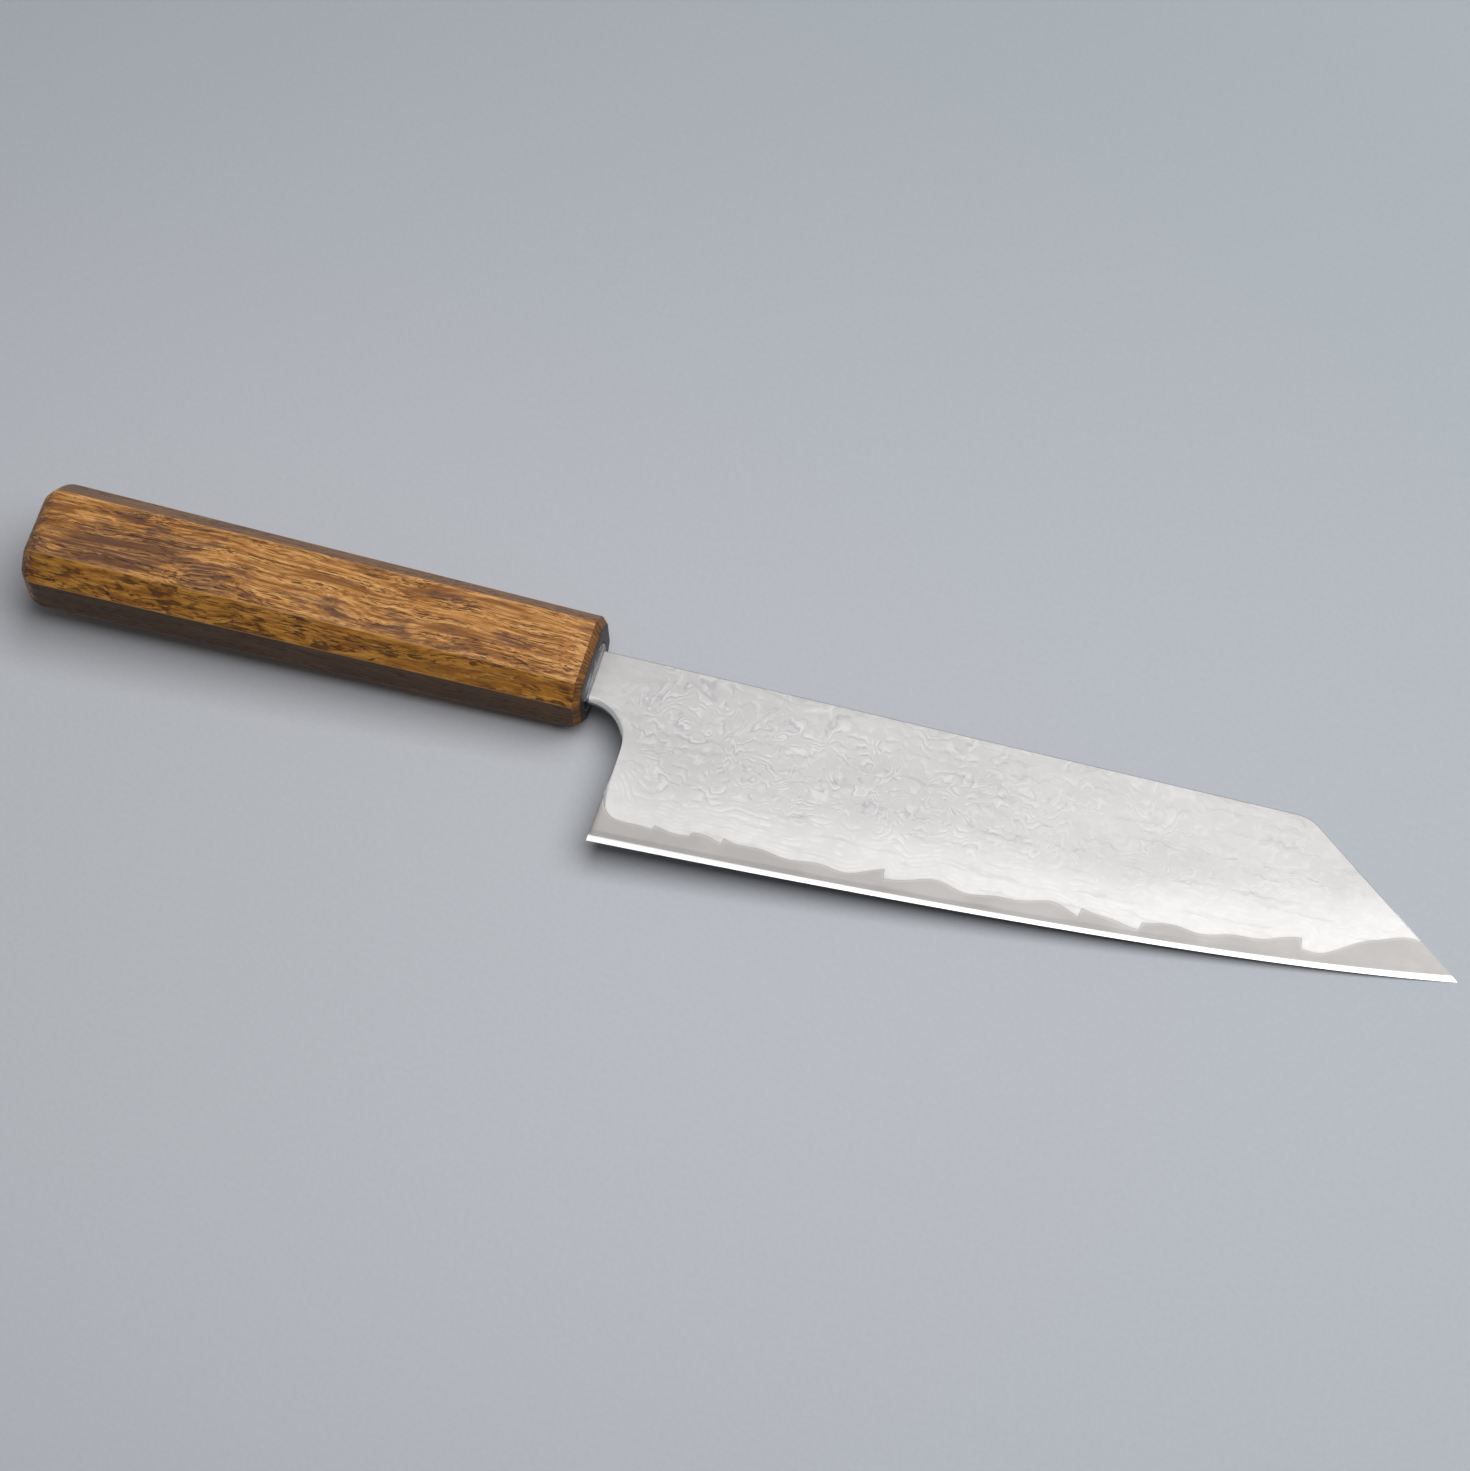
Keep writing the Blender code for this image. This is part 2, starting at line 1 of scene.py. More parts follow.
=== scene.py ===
"""Bunka kitchen knife at rest on a pale table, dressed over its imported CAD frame.

Lengths are in millimetres in the knife's own frame, as its maker would draw it: x runs from the handle's
mouth (x = 0) to the tip, y towards the spine and z across the blade. RestPose lays each finished mesh on
the table, in metres.
"""

import logging
import math
from dataclasses import dataclass
from enum import Enum
from typing import Callable, NamedTuple, Optional, Sequence, Union

import bmesh
import bpy
from mathutils import Matrix, Vector
from mathutils.geometry import intersect_point_line
from mathutils.kdtree import KDTree


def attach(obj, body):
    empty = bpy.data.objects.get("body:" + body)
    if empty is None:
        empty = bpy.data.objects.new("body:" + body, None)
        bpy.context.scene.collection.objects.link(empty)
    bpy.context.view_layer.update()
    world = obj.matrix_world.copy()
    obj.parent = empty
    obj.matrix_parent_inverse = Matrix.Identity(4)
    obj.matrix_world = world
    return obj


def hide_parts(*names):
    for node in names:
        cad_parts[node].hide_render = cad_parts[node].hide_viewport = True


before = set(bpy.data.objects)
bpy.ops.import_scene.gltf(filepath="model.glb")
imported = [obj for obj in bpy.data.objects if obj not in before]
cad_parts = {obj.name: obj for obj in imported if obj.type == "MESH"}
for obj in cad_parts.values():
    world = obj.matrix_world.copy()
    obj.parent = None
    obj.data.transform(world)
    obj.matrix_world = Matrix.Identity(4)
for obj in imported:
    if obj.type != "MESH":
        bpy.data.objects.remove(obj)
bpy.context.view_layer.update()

Point = tuple[float, float, float]
Colour = tuple[float, float, float]
Pair = tuple[float, float]
Socket = bpy.types.NodeSocket
Value = Union[float, Sequence[float], Socket]

MM = 0.001
MITRE_LIMIT = 0.5
ORIGIN: Point = (0.0, 0.0, 0.0)
QUARTERS = ((1, 1), (-1, 1), (-1, -1), (1, -1))

# Values that the meshes carry for their finishes.
PLACE = "blade_place"
ABOVE = "above_bevel"
ROUNDED = "rounded_by"
ARRIS = "arris"

log = logging.getLogger("bunka_knife")


class Side(Enum):
    """Side of the blade that a cladding lies on."""

    LEFT = 1
    RIGHT = -1


class Rim(NamedTuple):
    """Rounding along an edge: how far it reaches into the face and how deep it falls at the edge."""

    width: float
    drop: float


class Station(NamedTuple):
    """One cross cut of a sheet, from the lower outline to the upper one, with the rounding at both ends."""

    low: Vector
    high: Vector
    low_rim: Rim
    high_rim: Rim


def mix(a: float, b: float, t: float) -> float:
    """Value between a and b."""
    return a + (b - a) * t


def blend_rim(a: Rim, b: Rim, t: float) -> Rim:
    """Rounding between a and b."""
    return Rim(mix(a.width, b.width, t), mix(a.drop, b.drop, t))


def smooth(t: float) -> float:
    """Ease from 0 to 1 as t goes from 0 to 1."""
    t = min(max(t, 0.0), 1.0)
    return t * t * (3.0 - 2.0 * t)


def steps(first: int, count: int) -> list[float]:
    """Equal steps up to 1, without those before the first: steps(0, 2) is 0, 0.5 and 1."""
    return [i / count for i in range(first, count + 1)]


def toned(colour: Colour, factor: float) -> Colour:
    """Colour made darker or lighter by a factor."""
    return tuple(factor * c for c in colour)


@dataclass(frozen=True)
class RestPose:
    """How the knife lies: nose down on the tip and on the handle's front lower edge."""

    tilt: float = 2.5613
    move: Point = (-32.564, 12.9598, 8.7483)

    def matrix(self) -> Matrix:
        """Matrix from the knife's own millimetres to the table's metres."""
        turn = Matrix.Rotation(math.radians(self.tilt), 4, "Y")
        return Matrix.Scale(MM, 4) @ Matrix.Translation(Vector(self.move)) @ turn

    def back_location(self) -> Vector:
        """Location of the Mapping node that leads from the table's frame back to the knife's own."""
        back = Matrix.Rotation(-math.radians(self.tilt), 3, "Y")
        return -(back @ Vector(self.move))


POSE = RestPose()


class Graph:
    """Adds and links the nodes of one material or node group."""

    def __init__(self, tree: bpy.types.NodeTree) -> None:
        """Start on an existing tree."""
        self.tree = tree

    def fill(self, node: bpy.types.Node, inputs: dict) -> None:
        """Link inputs of a node, or set their values.

        Args:
            node: the node.
            inputs: sockets, numbers, vectors or colours by input name or number.
        """
        for key, value in inputs.items():
            socket = node.inputs[key]
            if isinstance(value, Socket):
                self.tree.links.new(value, socket)
            else:
                socket.default_value = (*value, 1.0) if socket.type == "RGBA" else value

    def node(self, kind: str, inputs: Optional[dict] = None, **settings: object) -> bpy.types.Node:
        """Add a shader node.

        Args:
            kind: Blender's name of the node type, without ShaderNode.
            inputs: values or sockets by input name or number.
            settings: properties of the node.

        Returns:
            The new node.
        """
        made = self.tree.nodes.new(f"ShaderNode{kind}")
        for key, value in settings.items():
            setattr(made, key, value)
        self.fill(made, inputs or {})
        return made

    def maths(self, operation: str, *values: Value) -> Socket:
        """Result of a Math node."""
        return self.node("Math", dict(enumerate(values)), operation=operation).outputs[0]

    def vector(self, operation: str, *values: Value) -> Socket:
        """Vector result of a Vector Math node."""
        return self.node("VectorMath", dict(enumerate(values)), operation=operation).outputs[0]

    def measure(self, operation: str, a: Value, b: Value) -> Socket:
        """Number that a Vector Math node finds, such as a distance."""
        return self.node("VectorMath", {0: a, 1: b}, operation=operation).outputs["Value"]

    def scaled(self, vector: Value, factor: Value) -> Socket:
        """Vector or colour times a number."""
        return self.node("VectorMath", {0: vector, "Scale": factor}, operation="SCALE").outputs[0]

    def linear(self, value: Value, slope: Value, start: Value) -> Socket:
        """Value times a slope, plus a start."""
        return self.maths("MULTIPLY_ADD", value, slope, start)

    def times(self, first: Value, *others: Value) -> Socket:
        """Multiply numbers.

        Args:
            first: first number or socket.
            others: the rest of them.

        Returns:
            Their product.
        """
        product = first
        for other in others:
            product = self.maths("MULTIPLY", product, other)
        return product

    def off_middle(self, value: Value) -> Socket:
        """How far a value is, from 0 to 0.5, from the middle between two whole numbers."""
        return self.maths("ABSOLUTE", self.maths("SUBTRACT", self.maths("FRACT", value), 0.5))

    def ease(self, value: Value, low: float, high: float, start: Value = 0.0, end: Value = 1.0) -> Socket:
        """Smooth step of a value from start to end between two limits."""
        inputs = {"Value": value, "From Min": low, "From Max": high, "To Min": start, "To Max": end}
        return self.node("MapRange", inputs, interpolation_type="SMOOTHSTEP").outputs[0]

    def noise(
        self, place: Value, scale: float, detail: float = 2.0, roughness: float = 0.5,
        stretch: Optional[Point] = None, output: str = "Fac", distortion: float = 0.0,
    ) -> Socket:
        """Add noise at a place.

        Args:
            place: vector socket.
            scale: features per unit.
            detail: octaves.
            roughness: strength of the finer octaves.
            stretch: factors on the place, by which the noise runs long in one direction.
            output: Fac or Color.
            distortion: how much the noise is bent.

        Returns:
            The output socket.
        """
        if stretch:
            place = self.vector("MULTIPLY", place, stretch)
        inputs = {"Vector": place, "Scale": scale, "Detail": detail, "Roughness": roughness}
        return self.node("TexNoise", inputs | {"Distortion": distortion}).outputs[output]

    def waver(self, place: Value, scale: float, detail: float, stretch: Optional[Point] = None) -> Socket:
        """Vector that wavers about zero from place to place."""
        colour = self.noise(place, scale, detail, 0.5, stretch, "Color")
        return self.vector("SUBTRACT", colour, (0.5, 0.5, 0.5))

    def blend(self, share: Value, a: Value, b: Value) -> Socket:
        """Colour between a and b."""
        return self.node("Mix", {0: share, 6: a, 7: b}, data_type="RGBA").outputs[2]

    def lay(self, tone: Value, *coats: tuple[Value, Value]) -> Socket:
        """Lay colours over a tone, one after the other.

        Args:
            tone: colour at the bottom.
            coats: share and colour of each coat.

        Returns:
            The colour on top.
        """
        for share, colour in coats:
            tone = self.blend(share, tone, colour)
        return tone

    def bump(self, height: Value, strength: float, distance: float) -> Socket:
        """Normal bent by a height, whose unit is the distance in metres."""
        return self.node("Bump", {"Height": height, "Strength": strength, "Distance": distance}).outputs[0]

    def axes(self, place: Value) -> bpy.types.bpy_prop_collection:
        """Outputs X, Y and Z of a place."""
        return self.node("SeparateXYZ", {0: place}).outputs

    def carried(self, name: str, output: str = "Fac") -> Socket:
        """Value that the mesh carries under a name."""
        return self.node("Attribute", attribute_name=name).outputs[output]

    def group(self, tree: bpy.types.NodeTree, **inputs: Value) -> bpy.types.bpy_prop_collection:
        """Outputs of a node group, placed with its own values."""
        return self.node("Group", inputs, node_tree=tree).outputs


def new_group(name: str, inputs: dict[str, Point], outputs: Sequence[str], kind: str = "Float") -> tuple:
    """Make a node group with vector inputs.

    Args:
        name: its name.
        inputs: default of each input, by the input's name.
        outputs: names of its outputs.
        kind: type of the outputs, Float or Vector.

    Returns:
        The group, its Graph, what it is given, and its output node.
    """
    tree = bpy.data.node_groups.new(name, "ShaderNodeTree")
    for label, default in inputs.items():
        socket = tree.interface.new_socket(label, in_out="INPUT", socket_type="NodeSocketVector")
        socket.default_value = default
    for label in outputs:
        tree.interface.new_socket(label, in_out="OUTPUT", socket_type=f"NodeSocket{kind}")
    given, out = (tree.nodes.new(f"NodeGroup{end}") for end in ("Input", "Output"))
    return tree, Graph(tree), given.outputs, out


class ShaderKit:
    """Node groups that more than one finish uses, each built once."""

    def __init__(self) -> None:
        """Build the groups."""
        self.own_place = self._own_place()
        self.etched_layers = self._etched_layers()
        self.satin_marks = self._satin_marks()

    @staticmethod
    def _own_place() -> bpy.types.NodeTree:
        """Build the group that gives a point's place in the knife's own frame, in millimetres.

        Returns:
            The group.
        """
        tree, graph, _, out = new_group("knife_place", {}, ("Place",), "Vector")
        inputs = {
            "Vector": graph.node("TexCoord").outputs["Object"],
            "Location": tuple(POSE.back_location()),
            "Rotation": (0.0, -math.radians(POSE.tilt), 0.0),
            "Scale": (1.0 / MM,) * 3,
        }
        graph.fill(out, {"Place": graph.node("Mapping", inputs).outputs[0]})
        return tree

    @staticmethod
    def _etched_layers() -> bpy.types.NodeTree:
        """Build the group that draws folded steel: calm along the layer line, swirling above it.

        Returns:
            The group. The z of its Place is the distance from the layer line.
        """
        tree, graph, given, out = new_group(
            "etched_layers",
            {"Place": ORIGIN, "Shift": ORIGIN},
            ("Line", "Hollow", "Dab", "Cloud", "Streak"),
        )
        axes = graph.axes(given["Place"])
        height = axes["Z"]
        flat = graph.node("CombineXYZ", {"X": axes["X"], "Y": axes["Y"]}).outputs[0]
        place = graph.vector("ADD", flat, given["Shift"])
        free = graph.ease(height, 1.5, 14.0)
        middle = graph.times(free, graph.ease(axes["Y"], 4.0, -5.0))
        # The steel was folded in lanes: across the break between two of them the pattern starts afresh.
        drift = graph.noise(place, 0.085, stretch=(0.5, 1.0, 0.0))
        lanes = graph.linear(axes["Y"], 0.125, graph.times(drift, 1.6))
        jump = graph.node("CombineXYZ", {"X": graph.times(graph.maths("FLOOR", lanes), 37.3)}).outputs[0]
        # Every line wriggles a little, and broad folds push the layers about, more and more with the
        # distance from the layer line.
        wriggle = graph.scaled(graph.waver(place, 0.38, 1.0), graph.linear(free, 2.2, 1.5))
        wriggled = graph.vector("ADD", place, wriggle)
        swirl = graph.scaled(graph.waver(place, 0.075, 1.0), graph.times(free, 20.0))
        bent = graph.vector("ADD", wriggled, swirl)
        fold = graph.noise(bent, 0.10, 1.0, stretch=(0.7, 1.0, 0.0))
        steep = graph.noise(graph.vector("ADD", bent, jump), 0.14, 1.0, stretch=(1.5, 0.45, 0.0))
        # The layers lie ever further apart above the layer line, and from each to the next the field grows
        # by one.
        calm = graph.times(graph.maths("LOGARITHM", graph.linear(height, 0.126, 1.0), math.e), 10.0)
        field = graph.linear(graph.maths("SUBTRACT", fold, 0.5), graph.linear(free, 6.0, 1.5), calm)
        field = graph.linear(graph.maths("SUBTRACT", steep, 0.5), graph.times(middle, 5.5), field)
        line = graph.ease(graph.off_middle(field), 0.0, 0.33, 1.0, 0.0)
        hollow = graph.ease(graph.off_middle(graph.maths("ADD", field, 0.30)), 0.0, 0.25, 1.0, 0.0)
        # The etching took unevenly: less towards the tip, hardly at all beside the neck, and in patches.
        dab = graph.noise(wriggled, 0.34, 2.0, 0.6)
        zone = graph.noise(place, 0.11, 1.0, stretch=(0.6, 1.0, 0.0))
        taken = graph.times(
            graph.linear(free, 0.66, 0.34),
            graph.ease(axes["X"], 55.0, 150.0, 1.0, 0.32),
            graph.ease(axes["X"], 4.0, 19.0, 0.08, 1.0),
            graph.ease(zone, 0.38, 0.56, 0.45, 1.0),
        )
        patch = graph.times(graph.ease(dab, 0.42, 0.58, 0.05, 1.0), taken)
        fault = graph.times(middle, graph.ease(dab, 0.45, 0.6))
        broken = graph.times(graph.ease(graph.off_middle(lanes), 0.46, 0.50), fault)
        graph.fill(out, {
            "Line": graph.times(line, patch),
            "Hollow": graph.maths("MAXIMUM", graph.times(hollow, patch), broken),
            "Dab": dab,
            "Cloud": graph.noise(place, 0.07, 3.0, 0.6, (0.4, 1.0, 1.0)),
            "Streak": graph.noise(wriggled, 1.0, 3.0, 0.6, (0.05, 0.62, 0.0)),
        })
        return tree

    @staticmethod
    def _satin_marks() -> bpy.types.NodeTree:
        """Build the group that draws the fine marks of satin finishing, long in the strokes' direction.

        Returns:
            The group.
        """
        inputs = {"Place": ORIGIN, "Stroke": (0.12, 4.0, 4.0)}
        tree, graph, given, out = new_group("satin_marks", inputs, ("Marks", "Haze"))
        marks = graph.noise(graph.vector("MULTIPLY", given["Place"], given["Stroke"]), 1.0, 2.0, 0.6)
        graph.fill(out, {"Marks": marks, "Haze": graph.noise(given["Place"], 0.09, 3.0, 0.55)})
        return tree


def new_material(name: str) -> tuple[bpy.types.Material, Graph, bpy.types.Node]:
    """Make an empty node material.

    Args:
        name: its name.

    Returns:
        The material, its Graph and its Principled shader.
    """
    made = bpy.data.materials.new(name)
    made.use_nodes = True
    return made, Graph(made.node_tree), made.node_tree.nodes["Principled BSDF"]


@dataclass(frozen=True)
class OakFinish:
    """Burnt and lacquered oak: golden wood with scorched streaks, open pores and ray flecks on two bevels.

    A field that ends in run stretches its noise along the grain.
    """

    gold: Colour = (0.49, 0.208, 0.050)
    straw: Colour = (0.82, 0.430, 0.155)
    brown: Colour = (0.205, 0.077, 0.022)
    scorch: Colour = (0.135, 0.064, 0.041)
    pore: Colour = (0.040, 0.019, 0.015)
    ochre: Colour = (0.34, 0.135, 0.018)
    amber: Colour = (0.54, 0.255, 0.050)
    fleck: Colour = (0.085, 0.032, 0.006)
    darker_bevel: Colour = (0.200, 0.112, 0.064)
    painted_shade_side: Colour = (0.066, 0.032, 0.013)
    end_grain: Colour = (0.039, 0.029, 0.026)
    fleck_way: Point = (0.0, -0.747, 0.665)
    plain_way: Point = (0.0, 0.747, 0.665)
    side_way: Point = (0.0, 1.0, 0.0)
    bend_run: Point = (0.5, 1.0, 1.0)
    fibre_run: Point = (0.22, 5.2, 5.2)
    dash_run: Point = (0.34, 3.6, 3.6)
    fine_dash_run: Point = (0.6, 7.0, 7.0)
    row_run: Point = (0.03, 0.5, 0.5)
    streak_run: Point = (0.042, 1.35, 1.35)
    band_run: Point = (0.030, 0.40, 0.40)
    blotch_run: Point = (0.055, 0.16, 0.16)
    bevel_streak_run: Point = (0.09, 1.0, 1.0)
    fleck_run: Point = (0.20, 0.72, 0.72)
    fleck_zone_run: Point = (0.05, 0.30, 0.30)
    roughness: float = 0.44
    specular: float = 0.15
    coat: float = 0.05
    coat_roughness: float = 0.30
    relief: float = 0.0001

    def material(self, kit: ShaderKit) -> bpy.types.Material:
        """Make the handle's material.

        Args:
            kit: shared shader groups.

        Returns:
            The material.
        """
        made, graph, shader = new_material("burnt_oak")
        place = graph.group(kit.own_place)["Place"]
        axes = graph.axes(place)
        grain = self._bent_grain(graph, place)
        fibre = graph.noise(grain, 1.0, 2.0, 0.6, self.fibre_run)
        pores = self._pores(graph, grain)
        normal = graph.node("NewGeometry").outputs["Normal"]
        tone = self._flat_tone(graph, grain, fibre, axes)
        tone = graph.blend(self._facing(graph, normal, self.fleck_way), tone, self._fleck_tone(graph, grain))
        # The far bevel and its opposite take a darker, greyer tone of their own. Both side faces are painted
        # dark, a painted shade.
        darkened_faces = (
            (self.plain_way, self.darker_bevel, 0.86, 0.82),
            (self.side_way, self.painted_shade_side, 0.80, 0.90),
        )
        for way, colour, darkest, share in darkened_faces:
            darkened = graph.blend(graph.ease(fibre, 0.35, 0.65), toned(colour, darkest), colour)
            tone = graph.blend(graph.times(self._facing(graph, normal, way), share), tone, darkened)
        # The arrises are painted a little lighter, a painted highlight along their rounding. Over the front
        # chamfer the cut fibres run outwards, and the mouth is dark.
        painted_arris_highlight = graph.times(graph.ease(graph.carried(ARRIS), 0.3, 1.0), 0.35)
        ahead = graph.times(graph.axes(normal)["X"], graph.ease(axes["X"], -3.0, -2.0))
        outwards = graph.vector("NORMALIZE", graph.vector("MULTIPLY", grain, (0.0, 1.0, 1.0)))
        cut = graph.ease(graph.noise(outwards, 17.0, 2.0, 0.65), 0.40, 0.62)
        tone = graph.lay(
            tone,
            (graph.times(pores, 0.80), self.pore),
            (painted_arris_highlight, self.straw),
            (graph.ease(ahead, 0.25, 0.45, 0.0, 0.85), graph.blend(cut, self.pore, toned(self.ochre, 0.75))),
            (graph.ease(axes["X"], 0.22, 0.42), self.end_grain),
        )
        rough = graph.linear(fibre, 0.16, self.roughness - 0.08)
        height = graph.linear(pores, -1.0, graph.times(fibre, 0.3))
        graph.fill(shader, {
            "Base Color": tone,
            "Roughness": graph.linear(pores, 0.2, rough),
            "Specular IOR Level": self.specular,
            "Coat Weight": self.coat,
            "Coat Roughness": self.coat_roughness,
            "Normal": graph.bump(height, 0.8, self.relief),
        })
        return made

    def _bent_grain(self, graph: Graph, place: Value) -> Socket:
        """Bend places slowly and kink them a little, as the grain runs.

        Args:
            graph: graph of the material.
            place: place in the knife's own frame.

        Returns:
            Place along the bent grain.
        """
        bend = graph.vector("MULTIPLY", graph.waver(place, 0.05, 2.0, self.bend_run), (0.0, 8.0, 8.0))
        kink = graph.vector("MULTIPLY", graph.waver(place, 0.26, 1.0, self.bend_run), (0.0, 0.5, 0.5))
        return graph.vector("ADD", place, graph.vector("ADD", bend, kink))

    def _pores(self, graph: Graph, grain: Value) -> Socket:
        """Draw open pores: short dark dashes that come in rows.

        Args:
            graph: graph of the material.
            grain: place along the bent grain.

        Returns:
            Their mask.
        """
        dash = graph.ease(graph.noise(grain, 1.0, 0.0, 0.5, self.dash_run), 0.605, 0.65)
        fine = graph.ease(graph.noise(grain, 1.0, 0.0, 0.5, self.fine_dash_run), 0.67, 0.72, 0.0, 0.8)
        row = graph.ease(graph.noise(grain, 1.0, 1.0, 0.5, self.row_run), 0.40, 0.58)
        return graph.times(graph.maths("MAXIMUM", dash, fine), graph.linear(row, 0.8, 0.2))

    def _flat_tone(self, graph: Graph, grain: Value, fibre: Value, axes: Sequence) -> Socket:
        """Draw the broad faces.

        Args:
            graph: graph of the material.
            grain: place along the bent grain.
            fibre: fine fibre noise.
            axes: outputs X, Y and Z of the place.

        Returns:
            Their colour.
        """
        streak = graph.noise(grain, 1.0, 3.0, 0.65, self.streak_run)
        band = graph.noise(grain, 1.0, 3.0, 0.62, self.band_run)
        blotch = graph.noise(grain, 1.0, 4.0, 0.66, self.blotch_run)
        # Scorched blotches gather towards the butt and the edge-side half, and towards the butt this
        # darkening is also painted shade.
        lean = graph.times(graph.ease(axes["X"], -25.0, -125.0, -0.45, 1.0), 0.070)
        lean = graph.maths("ADD", lean, graph.times(graph.ease(axes["Y"], 3.0, -8.0, -0.5, 1.0), 0.05))
        scorch_and_painted_shade = graph.ease(graph.maths("ADD", blotch, lean), 0.49, 0.60)
        return graph.lay(
            self.gold,
            (graph.ease(streak, 0.40, 0.66), self.straw),
            (graph.ease(band, 0.50, 0.36, 0.0, 0.75), self.brown),
            (graph.ease(streak, 0.46, 0.32, 0.0, 0.80), self.brown),
            (graph.times(scorch_and_painted_shade, graph.ease(streak, 0.62, 0.42, 0.45, 0.95)), self.scorch),
            (graph.ease(fibre, 0.48, 0.36, 0.0, 0.60), self.brown),
        )

    def _fleck_tone(self, graph: Graph, grain: Value) -> Socket:
        """Draw the bevels that cut the rays flat, with their ray flecks.

        Args:
            graph: graph of the material.
            grain: place along the bent grain.

        Returns:
            Their colour.
        """
        streak = graph.noise(grain, 1.0, 3.0, 0.62, self.bevel_streak_run)
        spot = graph.noise(grain, 1.0, 2.5, 0.6, self.fleck_run, distortion=0.4)
        zone = graph.noise(grain, 1.0, 1.0, 0.5, self.fleck_zone_run)
        flecks = graph.times(graph.ease(spot, 0.50, 0.59), graph.ease(zone, 0.38, 0.52, 0.35, 1.0))
        return graph.lay(
            self.ochre,
            (graph.ease(streak, 0.42, 0.64), self.amber),
            (graph.ease(streak, 0.45, 0.34, 0.0, 0.8), self.brown),
            (graph.times(flecks, 0.92), self.fleck),
        )

    @staticmethod
    def _facing(graph: Graph, normal: Value, way: Point) -> Socket:
        """Share, from 0 to 1, to which a surface faces along a direction or against it."""
        return graph.ease(graph.maths("ABSOLUTE", graph.measure("DOT_PRODUCT", normal, way)), 0.87, 0.97)


@dataclass(frozen=True)
class DamascusFinish:
    """Etched satin damascus: pale layer edges that stand a little proud of a light grey ground."""

    ground: Colour = (0.350, 0.341, 0.334)
    ridge: Colour = (0.429, 0.420, 0.412)
    hollow: Colour = (0.259, 0.256, 0.259)
    weld: Colour = (0.307, 0.300, 0.296)
    eased_edge: Colour = (0.34, 0.337, 0.334)
    right_shift: Point = (61.0, 37.0, 0.0)
    roughness: float = 0.50
    eased_roughness: float = 0.19
    relief: float = 0.00002

    def material(self, kit: ShaderKit, side: Side) -> bpy.types.Material:
        """Make the material of one cladding.

        Args:
            kit: shared shader groups.
            side: side of the blade, which has its own stretch of the pattern.

        Returns:
            The material.
        """
        made, graph, shader = new_material(f"damascus_{side.name.lower()}")
        place = graph.carried(PLACE, "Vector")
        shift = ORIGIN if side is Side.LEFT else self.right_shift
        layers = graph.group(kit.etched_layers, Place=place, Shift=shift)
        marks = graph.group(kit.satin_marks, Place=place)["Marks"]
        height = graph.axes(place)["Z"]
        # The neck, the choil and the spine are rounded and polished.
        eased = graph.ease(graph.carried(ROUNDED), 0.004, 0.05)
        # The hollows beside the pale layer edges are darker: partly the etched dark layers, partly painted
        # shade of the hollows.
        tone = graph.lay(
            self.ground,
            (graph.times(layers["Hollow"], 0.75), self.hollow),
            (graph.times(layers["Line"], 0.85), self.ridge),
            (graph.ease(height, 0.0, 0.55, 0.8, 0.0), self.weld),
            (eased, self.eased_edge),
        )
        # Clouds, dabs and streaks vary the tone, and the cladding is painted lighter near the layer line and
        # darker up towards the spine: painted shade in place of the shading over the ground face's bulge.
        cloud_and_painted_light = graph.times(
            graph.ease(layers["Cloud"], 0.35, 0.65, 0.965, 1.03),
            graph.ease(height, 3.0, 16.0, 1.13, 0.94),
            graph.ease(layers["Dab"], 0.32, 0.66, 0.97, 1.02),
            graph.ease(layers["Streak"], 0.30, 0.46, 0.90, 1.01),
        )
        rough = graph.linear(layers["Line"], 0.05, graph.linear(marks, 0.08, self.roughness - 0.04))
        raised = graph.linear(layers["Hollow"], -0.5, graph.linear(marks, 0.10, layers["Line"]))
        graph.fill(shader, {
            "Base Color": graph.scaled(tone, cloud_and_painted_light),
            "Metallic": 1.0,
            "Roughness": graph.linear(eased, self.eased_roughness - self.roughness, rough),
            "Normal": graph.bump(raised, 0.36, self.relief),
        })
        return made


